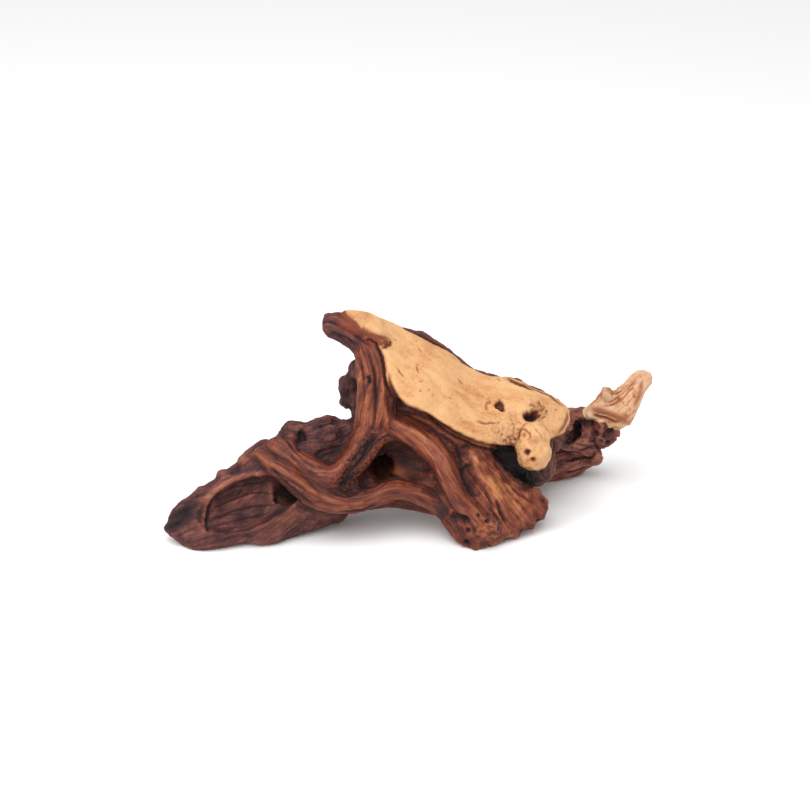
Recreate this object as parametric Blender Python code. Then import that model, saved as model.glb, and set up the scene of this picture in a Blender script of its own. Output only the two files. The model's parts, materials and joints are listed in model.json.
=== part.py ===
"""Large mopani root wood: a weathered root stump of dark heartwood with a sandblasted cap of pale sapwood.

A piece of root wood is one growth. It is modelled by its members, the roots, ridges, burls and sapwood
that a carver would name, each as its own closed solid that meets its neighbours along a hairline.

Lengths are in millimetres at real size and become metres in the meshes. X runs along the root from the
hollow left root to the raised pale tip, Y runs from the front to the back and Z runs up from the ground.
"""

import math

import bmesh
import bpy
from mathutils import Matrix, Vector, noise

MM = 0.001

# Driving dimensions
LENGTH = 400.0  # from the left root's point to the pale tip's end
HAIRLINE = 0.45  # the gap that parts neighbouring members
SIDES = 14  # corners of a root's cross-section before it is smoothed
SKIN_STEP = 1.5  # grid on which a member's folds are closed
FACET = 10.0  # edge of a thick root's triangles
STRAND_FACET = 7.0  # edge of a thin strand's triangles
GROUND_CUT = 1.0  # height of the flat spots that the root stands on

# Lean of a cross-section's long side from upright, towards the back, in degrees
UPRIGHT_LEAN = 15.0
LOG_LEAN = 20.0
STRAND_LEAN = 25.0
FOOT_LEAN = 36.0
ROOT_LEAN = 40.0
CAP_LEAN = 60.0

HEARTWOOD = ((0.165, 0.066, 0.040), 0.62)
STRAND_WOOD = ((0.270, 0.105, 0.050), 0.58)
SAPWOOD = ((0.780, 0.520, 0.270), 0.66)
WEATHERED = ((0.640, 0.450, 0.300), 0.75)


# ---------------------------------------------------------------- tools


def clear_scene():
    for obj in list(bpy.data.objects):
        bpy.data.objects.remove(obj, do_unlink=True)


def wood(name, finish):
    """A plain wood material: its colour and its roughness."""
    found = bpy.data.materials.get(name)
    if found:
        return found
    made = bpy.data.materials.new(name)
    made.use_nodes = True
    shader = made.node_tree.nodes["Principled BSDF"]
    colour, roughness = finish
    shader.inputs["Base Color"].default_value = (*colour, 1.0)
    shader.inputs["Roughness"].default_value = roughness
    shader.inputs["Metallic"].default_value = 0.0
    return made


def link(name, mesh_source):
    """Turns a bmesh into a linked object and frees it."""
    mesh = bpy.data.meshes.new(name)
    mesh_source.to_mesh(mesh)
    mesh_source.free()
    obj = bpy.data.objects.new(name, mesh)
    bpy.context.collection.objects.link(obj)
    return obj


def apply_modifiers(obj):
    """Replaces the object's mesh by the one its modifiers make."""
    graph = bpy.context.evaluated_depsgraph_get()
    made = bpy.data.meshes.new_from_object(obj.evaluated_get(graph))
    obj.modifiers.clear()
    obj.data = made
    return obj


def smoothed(obj, levels=1):
    """One round of subdivision, applied."""
    modifier = obj.modifiers.new("smooth", "SUBSURF")
    modifier.levels = levels
    modifier.render_levels = levels
    return apply_modifiers(obj)


def reskinned(obj, facet):
    """Gives the object one clean skin with no folds, in triangles about facet mm along an edge."""
    remesh = obj.modifiers.new("skin", "REMESH")
    remesh.mode = "VOXEL"
    remesh.voxel_size = SKIN_STEP * MM
    apply_modifiers(obj)
    area = sum(face.area for face in obj.data.polygons)
    triangle = (facet * MM) ** 2 * math.sqrt(3.0) / 4.0
    triangles = 2 * len(obj.data.polygons)
    thin = obj.modifiers.new("thin", "DECIMATE")
    thin.ratio = min(1.0, area / triangle / triangles)
    return apply_modifiers(obj)


def gnarled(obj, height, grain, seed):
    """Moves each vertex along its normal by a smooth noise: height in mm, grain the size of its swellings."""
    shift = Vector((seed * 7.3, seed * 3.1, seed * 5.7))
    work = bmesh.new()
    work.from_mesh(obj.data)
    work.normal_update()
    for vertex in work.verts:
        place = vertex.co / (grain * MM) + shift
        swell = noise.fractal(place, 0.9, 2.1, 3)
        vertex.co += vertex.normal * (swell * height * MM)
    work.to_mesh(obj.data)
    work.free()
    return obj


def turned_ring(work, centre, tangent, upright, across, thick):
    """One oval cross-section, square to the tangent, with its long side along upright."""
    long_side = (upright - upright.dot(tangent) * tangent).normalized()
    short_side = tangent.cross(long_side)
    turn = Matrix((long_side, short_side, tangent)).transposed().to_4x4()
    place = Matrix.Translation(centre) @ turn @ Matrix.Diagonal((across, thick, 1.0, 1.0))
    # Smoothing draws a ring in by this much, so the ring is made larger by it
    drawn_in = 0.75 + 0.25 * math.cos(math.tau / SIDES)
    radius = MM / drawn_in
    return bmesh.ops.create_circle(work, cap_ends=False, segments=SIDES, radius=radius, matrix=place)["verts"]


def limb(name, stations, facet=FACET, lean=ROOT_LEAN, way="sliced", rough=(1.6, 26.0), seed=1):
    """A root lofted through stations of (x, y, z, half width, half thickness), all in mm.

    lean turns the width from upright towards the back. The sections of a "sliced" limb are square to X
    and those of an "along" limb are square to its path. An "upright" limb runs up or down, and its width
    is turned from +X towards the back instead.
    """
    angle = math.radians(lean)
    if way == "upright":
        upright = Vector((math.cos(angle), math.sin(angle), 0.0))
    else:
        upright = Vector((0.0, math.sin(angle), math.cos(angle)))
    centres = [Vector(station[:3]) * MM for station in stations]
    work = bmesh.new()
    last = len(stations) - 1
    rings = []
    for number, station in enumerate(stations):
        tangent = Vector((1.0, 0.0, 0.0))
        if way != "sliced":
            ahead = centres[min(number + 1, last)]
            behind = centres[max(number - 1, 0)]
            tangent = (ahead - behind).normalized()
        rings.append(turned_ring(work, centres[number], tangent, upright, station[3], station[4]))
    for first, second in zip(rings, rings[1:]):
        edges = []
        for ring in (first, second):
            for here, there in zip(ring, ring[1:] + ring[:1]):
                edges.append(work.edges.get((here, there)))
        bmesh.ops.bridge_loops(work, edges=edges)
    for ring in (rings[0], rings[-1]):
        work.faces.new(ring)
    bmesh.ops.recalc_face_normals(work, faces=work.faces)
    obj = smoothed(link(name, work))
    return reskinned(gnarled(obj, *rough, seed), facet)


def lumps(name, balls, rough=(1.8, 14.0), seed=1):
    """A burl: balls of (x, y, z, radius x, radius y, radius z) in mm, joined into one gnarled body."""
    body = None
    for number, ball in enumerate(balls):
        work = bmesh.new()
        place = Matrix.Translation(Vector(ball[:3]) * MM) @ Matrix.Diagonal((*ball[3:], 1.0))
        bmesh.ops.create_icosphere(work, subdivisions=3, radius=MM, matrix=place)
        piece = gnarled(link(f"{name}_{number}", work), *rough, seed + number)
        if body is None:
            body = piece
        else:
            combine(body, piece, "UNION")
            bpy.data.objects.remove(piece, do_unlink=True)
    body.name = name
    return reskinned(body, STRAND_FACET)


def scoop(name, centre, radii, along=(1.0, 0.0, 0.0), lean=ROOT_LEAN):
    """An oval cutter for a hollow. radii are along the hollow, across it and into the wood."""
    angle = math.radians(lean)
    outward = Vector((0.0, -math.cos(angle), math.sin(angle)))
    axis = Vector(along)
    axis = (axis - axis.dot(outward) * outward).normalized()
    turn = Matrix((axis, outward.cross(axis), outward)).transposed().to_4x4()
    work = bmesh.new()
    place = Matrix.Translation(Vector(centre) * MM) @ turn @ Matrix.Diagonal((*radii, 1.0))
    bmesh.ops.create_icosphere(work, subdivisions=3, radius=MM, matrix=place)
    cutter = reskinned(gnarled(link(name, work), 1.2, 18.0, 5), STRAND_FACET)
    return as_cutter(cutter)


def as_cutter(obj):
    obj.hide_render = True
    obj.display_type = "WIRE"
    return obj


def combine(obj, other, operation):
    """Applies one Boolean of the object with the other."""
    modifier = obj.modifiers.new(operation.lower(), "BOOLEAN")
    modifier.operation = operation
    modifier.object = other
    modifier.solver = "EXACT"
    return apply_modifiers(obj)


def grown(obj):
    """A cutter that is the object swollen by the hairline gap."""
    swollen = obj.copy()
    swollen.data = obj.data.copy()
    swollen.name = "clearance_of_" + obj.name
    bpy.context.collection.objects.link(swollen)
    modifier = swollen.modifiers.new("swell", "DISPLACE")
    modifier.strength = HAIRLINE * MM
    modifier.mid_level = 0.0
    return as_cutter(apply_modifiers(swollen))


def keep_main_body(obj):
    """Drops the chips that a cut leaves beside the largest body."""
    work = bmesh.new()
    work.from_mesh(obj.data)
    unseen = set(work.faces)
    bodies = []
    while unseen:
        todo = [unseen.pop()]
        body = set(todo)
        while todo:
            for edge in todo.pop().edges:
                for face in edge.link_faces:
                    if face in unseen:
                        unseen.discard(face)
                        body.add(face)
                        todo.append(face)
        bodies.append(body)
    bodies.sort(key=len)
    for chip in bodies[:-1]:
        bmesh.ops.delete(work, geom=list(chip), context="FACES")
    work.to_mesh(obj.data)
    work.free()


def cut_flat(obj, height):
    """Planes the underside off at this height and closes it with a flat face."""
    work = bmesh.new()
    work.from_mesh(obj.data)
    geometry = list(work.verts) + list(work.edges) + list(work.faces)
    level = Vector((0.0, 0.0, height * MM))
    cut = bmesh.ops.bisect_plane(
        work, geom=geometry, dist=1e-7, plane_co=level, plane_no=(0.0, 0.0, -1.0), clear_outer=True
    )
    rim = [item for item in cut["geom_cut"] if isinstance(item, bmesh.types.BMEdge)]
    if rim:
        bmesh.ops.holes_fill(work, edges=rim, sides=0)
        bmesh.ops.recalc_face_normals(work, faces=work.faces)
    work.to_mesh(obj.data)
    work.free()


# ---------------------------------------------------------------- the members, as grown


def sapwood_cap():
    """The pale plate on top of the root, from the strip along the horn to the round lobe on the right."""
    stations = [
        (-52, 97, 169, 2.5, 3),
        (-45, 96, 168, 6.5, 5),
        (-36, 94, 165, 10, 7),
        (-26, 90, 160, 13.5, 8),
        (-19, 86, 153, 19.5, 9),
        (-14, 80, 146, 27.5, 9),
        (-8, 76, 138, 36.5, 9),
        (0, 75, 132, 39.5, 9),
        (12, 75, 128, 39, 9),
        (26, 75, 119, 39, 9),
        (39, 75, 109, 39, 9),
        (54, 75, 99, 36, 9),
        (69, 76, 92, 35, 9),
        (85, 78, 90, 36, 9),
        (97, 80, 89, 32, 9),
        (110, 82, 85, 27, 9),
        (121, 84, 82, 23, 9),
        (131, 87, 80, 17, 8),
        (137, 89, 80, 10, 6),
        (139, 90, 81, 4, 3),
    ]
    return limb("sapwood_cap", stations, FACET, CAP_LEAN, rough=(0.8, 30.0), seed=2)


def sapwood_knob():
    """The round pale knob that hangs over the cap's lower edge."""
    return lumps(
        "sapwood_knob",
        [(105, 48, 68, 15, 13, 16), (106, 56, 76, 13, 14, 13)],
        rough=(0.9, 14.0),
        seed=3,
    )


def strap_root():
    """The strand that crosses the left root and runs on as the lower lip of the centre hollow."""
    stations = [
        (-122, 47, 74, 3.5, 5),
        (-115, 39, 69, 6, 7),
        (-105, 31, 62, 8.5, 8),
        (-93, 25, 56, 9, 8),
        (-82, 21, 48, 9.5, 8),
        (-69, 19, 39, 10, 9),
        (-54, 19, 35, 8.5, 9),
        (-42, 21, 33, 8, 9),
        (-28, 24, 37, 8, 9),
        (-16, 28, 41, 8, 9),
        (-6, 32, 43, 9, 9),
        (6, 33, 39, 8.5, 9),
        (17, 31, 35, 8.5, 9),
        (30, 27, 28, 8.5, 8),
        (42, 20, 22, 7, 6),
    ]
    return limb("strap_root", stations, STRAND_FACET, STRAND_LEAN, "along", rough=(1.2, 14.0), seed=4)


def forked_band():
    """The smooth band that dips under the burl and climbs to the stem, the left lip of the centre hollow."""
    stations = [
        (-111, 57, 76, 5.5, 7),
        (-101, 50, 69, 8, 9),
        (-87, 42, 62, 10, 11),
        (-73, 35, 54, 10.5, 11),
        (-58, 33, 50, 11.5, 12),
        (-46, 36, 58, 11.5, 12),
        (-37, 41, 69, 12, 12),
        (-29, 47, 83, 13, 12),
        (-22, 52, 97, 11.5, 11),
    ]
    return limb("forked_band", stations, STRAND_FACET, STRAND_LEAN, "along", rough=(1.0, 16.0), seed=5)


def long_ridge():
    """The raised strand from the corner of the cap down to the front foot."""
    stations = [
        (-20, 60, 102, 8, 7),
        (-13, 56, 94, 7.5, 9),
        (-4, 50, 89, 10, 10),
        (6, 46, 85, 10, 10),
        (15, 41, 80, 10, 10),
        (25, 36, 74, 10, 10),
        (32, 29, 67, 9.5, 10),
        (36, 22, 56, 9, 10),
        (42, 16, 45, 8, 9),
        (49, 12, 36, 7.5, 9),
        (58, 10, 27, 7, 8),
        (66, 9, 20, 5.5, 6),
    ]
    return limb("long_ridge", stations, STRAND_FACET, STRAND_LEAN, "along", rough=(1.0, 14.0), seed=6)


def back_ridge():
    """The dark heartwood rim along the back of the cap. It shows where the cap falls short of it."""
    stations = [
        (-11, 104, 152, 7, 6),
        (6, 108, 144, 8, 9),
        (21, 110, 136, 8.5, 10),
        (34, 112, 126, 8, 9),
        (48, 112, 112, 9, 8),
        (63, 112, 101, 9, 8),
        (80, 113, 97, 9, 9),
        (95, 113, 95, 9, 9),
        (110, 113, 87, 9, 9),
        (124, 112, 81, 8, 8),
        (132, 110, 76, 7.5, 6),
    ]
    return limb("back_ridge", stations, STRAND_FACET, CAP_LEAN, rough=(1.2, 12.0), seed=37)


def burl():
    """The knotted lump above the forked band, scooped out at the front."""
    body = lumps(
        "burl",
        [
            (-69, 62, 61, 33, 17, 22),
            (-92, 66, 73, 14, 13, 15),
            (-66, 68, 75, 17, 14, 15),
            (-46, 66, 74, 18, 13, 15),
        ],
        rough=(2.2, 12.0),
        seed=8,
    )
    bowl = scoop("burl_bowl", (-66, 36, 76), (27, 17, 13), (1.0, 0.0, -0.1), STRAND_LEAN)
    combine(body, bowl, "DIFFERENCE")
    return body


def stem():
    """The upright front wall that carries the horn."""
    stations = [
        (-30, 88, 152, 14, 10),
        (-26, 80, 142, 16, 14),
        (-24, 70, 126, 16, 16),
        (-24, 61, 110, 16, 16),
        (-24, 56, 96, 17, 16),
        (-24, 54, 84, 18, 15),
    ]
    return limb("stem", stations, FACET, 0.0, way="upright", rough=(1.8, 16.0), seed=9)


def stem_knob():
    """The dark lump behind the stem's left side."""
    return lumps(
        "stem_knob",
        [(-45, 90, 104, 10, 12, 15), (-39, 88, 121, 9, 11, 10), (-36, 84, 96, 10, 12, 12)],
        rough=(2.2, 9.0),
        seed=10,
    )


def horn():
    """The dark spur that points up and to the left, broken off square at its end."""
    stations = [
        (-69, 93, 163, 11.5, 6),
        (-63, 93, 162, 12.5, 9),
        (-53, 93, 160, 14, 10),
        (-44, 94, 155, 16, 11),
        (-34, 94, 147, 19, 13),
        (-24, 95, 139, 22, 14),
        (-14, 96, 129, 24.5, 14),
    ]
    return limb("horn", stations, FACET, CAP_LEAN, rough=(1.4, 14.0), seed=11)


def left_root():
    """The long left root, a thick leaning slab whose front is weathered into a deep trough."""
    stations = [
        (-198, 20, 12, 2, 2.5),
        (-192, 20, 15, 8, 7),
        (-186, 21, 16, 16, 9),
        (-177, 20, 17, 22.5, 11),
        (-167, 19, 20, 27.5, 13),
        (-157, 22, 24, 30, 15),
        (-145, 27, 29, 32.5, 17),
        (-133, 33, 34, 37.5, 19),
        (-121, 36, 36, 43.5, 21),
        (-108, 40, 36, 47, 22),
        (-95, 45, 33, 39, 24),
        (-79, 49, 28, 30.5, 25),
        (-60, 52, 23, 21, 24),
        (-44, 52, 19, 13, 18),
    ]
    body = limb("left_root", stations, FACET, ROOT_LEAN, rough=(2.0, 22.0), seed=12)
    trough_line = (0.948, 0.205, 0.243)
    combine(body, scoop("trough", (-128, 14, 38), (45, 21, 19), trough_line), "DIFFERENCE")
    combine(body, scoop("trough_end", (-94, 27, 47), (20, 14, 20), trough_line), "DIFFERENCE")
    cut_flat(body, GROUND_CUT)
    return body


def heart_body():
    """The front of the stump: heartwood rotted into a deep almond hollow with a dark hole in it."""
    stations = [
        (-90, 60, 37, 24.5, 18),
        (-72, 62, 40, 30.5, 23),
        (-52, 62, 45, 38, 26),
        (-31, 63, 54, 43.5, 27),
        (-11, 64, 61, 45, 27),
        (6, 64, 58, 48.5, 27),
        (22, 62, 56, 48.5, 27),
        (39, 60, 51, 45.5, 26),
        (54, 58, 48, 37, 22),
        (65, 58, 47, 25, 14),
    ]
    body = limb("heart_body", stations, FACET, UPRIGHT_LEAN, rough=(1.8, 24.0), seed=13)
    hollow_line = (1.0, 0.0, 0.12)
    combine(body, scoop("almond", (-8, 31, 64), (37, 21, 22), hollow_line, LOG_LEAN), "DIFFERENCE")
    combine(body, scoop("almond_corner", (-42, 31, 47), (19, 10, 16), (1.0, 0.0, 0.5), LOG_LEAN), "DIFFERENCE")
    combine(body, scoop("dark_hole", (-19, 52, 52), (11, 10, 24), hollow_line, 8.0), "DIFFERENCE")
    return body


def front_foot():
    """The fan-shaped buttress at the front right, which stands on the ground."""
    stations = [
        (24, 41, 42, 32, 10),
        (34, 40, 43, 38.5, 13),
        (43, 38, 41, 45.5, 15),
        (53, 35, 38, 50, 16),
        (63, 33, 36, 48, 16),
        (73, 33, 31, 39, 15),
        (84, 35, 25, 29, 14),
        (95, 37, 21, 21, 12),
        (105, 41, 19, 15, 11),
        (113, 44, 19, 10.5, 8),
        (119, 46, 18, 7.5, 5),
    ]
    body = limb("front_foot", stations, FACET, FOOT_LEAN, rough=(1.6, 18.0), seed=14)
    cut_flat(body, GROUND_CUT)
    return body


def foot_knot():
    """The knot low on the front foot, where the long ridge ends."""
    return lumps("foot_knot", [(66, 11, 18, 13, 9, 12)], rough=(1.6, 8.0), seed=15)


def main_root():
    """The thick root under the cap, the core that all other members grow from."""
    stations = [
        (-31, 88, 123, 21, 10),
        (-17, 90, 116, 34.5, 18),
        (-1, 92, 110, 39.5, 24),
        (19, 93, 103, 40.5, 26),
        (39, 95, 90, 39.5, 27),
        (61, 97, 78, 37, 27),
        (83, 99, 68, 42, 27),
        (100, 102, 57, 48.5, 25),
        (114, 104, 51, 47, 19),
        (128, 105, 50, 36, 12),
    ]
    return limb("main_root", stations, FACET, CAP_LEAN, rough=(2.2, 24.0), seed=16)


def rear_log():
    """The broken root at the back right, which lies on the ground."""
    stations = [
        (58, 104, 47, 35, 16),
        (72, 108, 36, 38, 19),
        (88, 114, 28, 34.5, 19),
        (102, 122, 20, 29.5, 19),
        (113, 130, 18, 23, 18),
        (122, 136, 18, 18.5, 17),
        (134, 140, 15, 20, 17),
        (145, 142, 17, 17, 17),
        (155, 143, 18, 13.5, 15),
        (163, 143, 19, 9.5, 13),
        (169, 143, 21, 4.5, 8),
    ]
    body = limb("rear_log", stations, FACET, LOG_LEAN, rough=(2.0, 15.0), seed=17)
    cut_flat(body, GROUND_CUT)
    return body


def arch_root():
    """The small root that arches from under the cap's right lobe onto the rear log, round a dark hollow."""
    stations = [
        (120, 104, 61, 13.5, 8),
        (129, 110, 60, 18.5, 9),
        (139, 119, 55, 19.5, 10),
        (148, 129, 49, 20, 11),
        (157, 139, 43, 21.5, 11),
        (165, 143, 41, 20.5, 10),
        (168, 143, 40, 14.5, 6),
    ]
    body = limb("arch_root", stations, STRAND_FACET, STRAND_LEAN, rough=(1.2, 9.0), seed=18)
    combine(body, scoop("arch_hollow", (146, 116, 54), (10, 5, 13), (0.2, 0.0, 1.0), STRAND_LEAN), "DIFFERENCE")
    return body


def tip_limb():
    """The pale, flat limb that flares from the arch and rises to the right."""
    stations = [
        (154, 130, 67, 4.5, 7),
        (161, 130, 69, 7.5, 8),
        (169, 130, 72, 13.5, 9),
        (176, 131, 71, 18, 9),
        (183, 131, 69, 19, 9),
        (190, 131, 75, 22, 9),
        (195, 131, 81, 21, 8),
        (201, 131, 92, 12.5, 7),
        (206, 131, 96, 7, 6),
        (210, 131, 97, 3.5, 4),
    ]
    return limb("tip_limb", stations, STRAND_FACET, STRAND_LEAN, rough=(1.0, 10.0), seed=19)


def tip_spur():
    """The short stub beside the pale limb."""
    stations = [(175, 128, 75, 6, 6), (173, 127, 82, 6, 5), (173, 127, 88, 4, 4), (173, 127, 91, 2, 2)]
    return limb("tip_spur", stations, STRAND_FACET, 0.0, way="upright", rough=(0.6, 8.0), seed=20)


def tip_burr():
    """The dark pitted burr under the pale limb."""
    return lumps(
        "tip_burr",
        [(171, 131, 45, 10, 10, 11), (177, 132, 53, 8, 8, 10), (168, 130, 56, 8, 9, 9)],
        rough=(2.0, 7.0),
        seed=21,
    )


def back_root():
    """A short root behind the stem, worn to a stub above the ground."""
    stations = [
        (6, 96, 94, 26, 16),
        (-6, 106, 78, 24, 16),
        (-20, 115, 60, 20, 15),
        (-36, 122, 44, 15, 13),
        (-50, 128, 30, 11, 10),
        (-58, 132, 20, 7, 7),
        (-61, 133, 16, 4, 4),
    ]
    return limb("back_root", stations, FACET, 0.0, way="upright", rough=(2.0, 16.0), seed=22)


# ---------------------------------------------------------------- putting them together

# Each member is cut clear of those above it in this list, so the surface strands stay whole and the
# core takes their beds.
MEMBERS = [
    (sapwood_cap, "sapwood", SAPWOOD),
    (sapwood_knob, "sapwood", SAPWOOD),
    (long_ridge, "strand_wood", STRAND_WOOD),
    (strap_root, "strand_wood", STRAND_WOOD),
    (forked_band, "strand_wood", STRAND_WOOD),
    (foot_knot, "strand_wood", STRAND_WOOD),
    (back_ridge, "heartwood", HEARTWOOD),
    (burl, "heartwood", HEARTWOOD),
    (stem, "heartwood", HEARTWOOD),
    (horn, "heartwood", HEARTWOOD),
    (stem_knob, "heartwood", HEARTWOOD),
    (front_foot, "heartwood", HEARTWOOD),
    (left_root, "heartwood", HEARTWOOD),
    (heart_body, "heartwood", HEARTWOOD),
    (tip_limb, "weathered_wood", WEATHERED),
    (tip_spur, "weathered_wood", WEATHERED),
    (tip_burr, "heartwood", HEARTWOOD),
    (arch_root, "heartwood", HEARTWOOD),
    (rear_log, "heartwood", HEARTWOOD),
    (main_root, "heartwood", HEARTWOOD),
    (back_root, "heartwood", HEARTWOOD),
]


def near(obj, other):
    """Whether the two objects' boxes meet."""
    for axis in range(3):
        here = [vertex.co[axis] for vertex in obj.data.vertices]
        there = [vertex.co[axis] for vertex in other.data.vertices]
        if min(here) > max(there) or min(there) > max(here):
            return False
    return True


def part_neighbours(members):
    """Cuts each member clear of the members before it."""
    clearances = [grown(member) for member in members]
    for number, member in enumerate(members):
        for clearance in clearances[:number]:
            if near(member, clearance):
                combine(member, clearance, "DIFFERENCE")
        keep_main_body(member)
    for clearance in clearances:
        bpy.data.objects.remove(clearance, do_unlink=True)


def set_origin(members):
    """Scales the root to its length and puts the origin at the middle of its footprint, on the ground."""
    corners = [vertex.co for member in members for vertex in member.data.vertices]
    low = Vector(min(corner[axis] for corner in corners) for axis in range(3))
    high = Vector(max(corner[axis] for corner in corners) for axis in range(3))
    scale = LENGTH * MM / (high.x - low.x)
    middle = Vector(((low.x + high.x) / 2, (low.y + high.y) / 2, low.z))
    for member in members:
        member.data.transform(Matrix.Scale(scale, 4) @ Matrix.Translation(-middle))


def main():
    clear_scene()
    members = []
    for grow, material_name, finish in MEMBERS:
        member = grow()
        member.data.materials.clear()
        member.data.materials.append(wood(material_name, finish))
        members.append(member)
    for obj in list(bpy.data.objects):
        if obj not in members:
            bpy.data.objects.remove(obj, do_unlink=True)
    part_neighbours(members)
    set_origin(members)
    for member in members:
        member.data.shade_smooth()
        member.data.set_sharp_from_angle(angle=math.radians(40.0))


main()
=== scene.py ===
"""Large mopani root wood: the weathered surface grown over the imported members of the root."""

import json
import math

import bmesh
import bpy
import numpy as np
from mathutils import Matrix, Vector
from mathutils.bvhtree import BVHTree
from mathutils.kdtree import KDTree

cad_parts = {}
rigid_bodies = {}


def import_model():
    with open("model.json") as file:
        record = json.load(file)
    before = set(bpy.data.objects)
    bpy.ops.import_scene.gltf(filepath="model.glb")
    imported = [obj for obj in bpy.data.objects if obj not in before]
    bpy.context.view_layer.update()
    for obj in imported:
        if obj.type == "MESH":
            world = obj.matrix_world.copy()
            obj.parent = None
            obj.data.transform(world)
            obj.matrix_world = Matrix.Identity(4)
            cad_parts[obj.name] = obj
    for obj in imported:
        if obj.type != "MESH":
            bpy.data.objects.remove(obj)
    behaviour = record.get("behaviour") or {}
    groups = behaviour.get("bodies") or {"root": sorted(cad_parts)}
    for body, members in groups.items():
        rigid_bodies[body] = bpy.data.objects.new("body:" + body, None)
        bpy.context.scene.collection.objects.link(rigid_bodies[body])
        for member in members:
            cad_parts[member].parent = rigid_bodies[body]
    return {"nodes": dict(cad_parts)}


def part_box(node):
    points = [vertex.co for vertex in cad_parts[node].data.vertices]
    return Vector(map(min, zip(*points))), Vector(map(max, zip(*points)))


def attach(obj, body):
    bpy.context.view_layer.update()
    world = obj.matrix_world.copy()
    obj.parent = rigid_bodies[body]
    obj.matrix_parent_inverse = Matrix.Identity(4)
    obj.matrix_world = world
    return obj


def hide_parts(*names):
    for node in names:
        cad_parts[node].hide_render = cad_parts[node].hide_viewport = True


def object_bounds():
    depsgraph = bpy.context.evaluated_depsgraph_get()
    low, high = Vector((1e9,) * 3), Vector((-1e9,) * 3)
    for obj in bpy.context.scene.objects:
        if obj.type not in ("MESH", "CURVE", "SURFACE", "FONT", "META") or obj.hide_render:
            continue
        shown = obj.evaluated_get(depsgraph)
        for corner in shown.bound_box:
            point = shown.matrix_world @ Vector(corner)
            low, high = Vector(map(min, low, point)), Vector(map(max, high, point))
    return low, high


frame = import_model()
cad_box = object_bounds()

# ---------------------------------------------------------------------------------------------
# The living skin. The real root is one stump of mopani, grown as one, dug up and sandblasted
# clean, so its members run into each other. One skin is drawn over all the CAD members, the
# hairlines between them are healed, and every later section works on this skin.
# ---------------------------------------------------------------------------------------------
MM = 0.001
HEAL_WIDTH = 0.35 * MM
CREASE_FILL = 3.0 * MM
ROUGH_STEP = 1.4 * MM
SKIN_STEP = 0.85 * MM
SAME_PLACE = 1e-6

stump = bmesh.new()
for member in frame["nodes"].values():
    stump.from_mesh(member.data)
bmesh.ops.remove_doubles(stump, verts=stump.verts, dist=SAME_PLACE)


def spot(name, *fractions):
    """A point of a member's box, given as fractions of its width, depth and height."""
    low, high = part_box(name)
    return np.array([low[i] + (high[i] - low[i]) * fractions[i] for i in range(3)])


def lump(place, size, stretch=(1, 1, 1)):
    """A lump of wood that fills out the stump, so big in metres and stretched three ways."""
    made = bmesh.ops.create_icosphere(stump, subdivisions=3, radius=size)["verts"]
    bmesh.ops.scale(stump, vec=stretch, verts=made)
    bmesh.ops.translate(stump, vec=place, verts=made)


# Lumps that round off the almond hollow's dark bowl, the crest of the left root, the broken
# edge of the foot, the burl, and the ends at the right. Their sizes are in millimetres.
for place, size, stretch in (
    (("heart_body", 0.265, 0.10, 0.337), 10, (1.2, 1.0, 1.0)),
    (("heart_body", 0.331, 0.237, 0.369), 9, (1.2, 1.0, 1.0)),
    (("left_root", 0.440, 0.50, 0.86), 7, (1.0, 0.8, 0.9)),
    (("left_root", 0.330, 0.46, 0.72), 6, (1.2, 0.8, 0.8)),
    (("left_root", 0.215, 0.37, 0.57), 6, (1.2, 0.8, 0.9)),
    (("left_root", 0.110, 0.27, 0.38), 5, (1.0, 0.8, 1.0)),
    (("front_foot", 0.940, 0.58, 0.26), 7, (1.0, 1.0, 0.8)),
    (("front_foot", 0.900, 0.62, 0.42), 5, (1.0, 1.0, 1.0)),
    (("burl", 0.150, 0.30, 0.72), 6, (1.0, 1.0, 1.0)),
    (("burl", 0.560, 0.30, 0.76), 7, (1.2, 1.0, 1.0)),
    (("stem_knob", 0.250, 0.4, 0.62), 6, (1.0, 1.0, 1.3)),
    (("stem_knob", 0.500, 0.4, 0.20), 5, (1.0, 1.0, 1.0)),
    (("rear_log", 0.960, 0.60, 0.30), 6, (1.0, 1.0, 1.2)),
    (("tip_burr", 0.700, 0.40, 0.45), 6, (1.0, 1.0, 1.2)),
):
    lump(spot(*place), size * MM, stretch)

# Swelling the stump, skinning it over and shrinking it back closes the hairlines and fills
# the sharp creases.
stump_mesh = bpy.data.meshes.new("grown_stump")
stump.to_mesh(stump_mesh)
stump.free()
stump = bpy.data.objects.new("grown_stump", stump_mesh)
bpy.context.scene.collection.objects.link(stump)
for kind, size in (
    ("DISPLACE", HEAL_WIDTH),
    ("REMESH", ROUGH_STEP),
    ("DISPLACE", CREASE_FILL),
    ("REMESH", ROUGH_STEP),
    ("DISPLACE", -CREASE_FILL - HEAL_WIDTH / 2),
    ("REMESH", SKIN_STEP),
):
    change = stump.modifiers.new(kind.lower(), kind)
    if kind == "DISPLACE":
        change.strength = size
        change.mid_level = 0.0
    else:
        change.mode = "VOXEL"
        change.voxel_size = size
skin_mesh = bpy.data.meshes.new_from_object(
    stump.evaluated_get(bpy.context.evaluated_depsgraph_get())
)
bpy.data.objects.remove(stump)

count = len(skin_mesh.vertices)
skin = np.zeros(count * 3, np.float32)
skin_mesh.vertices.foreach_get("co", skin)
skin = skin.reshape(-1, 3).astype(float)
ties = np.zeros(len(skin_mesh.edges) * 2, np.int32)
skin_mesh.edges.foreach_get("vertices", ties)
ties = ties.reshape(-1, 2)
valence = np.maximum(np.bincount(ties.ravel(), minlength=count), 1)


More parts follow.
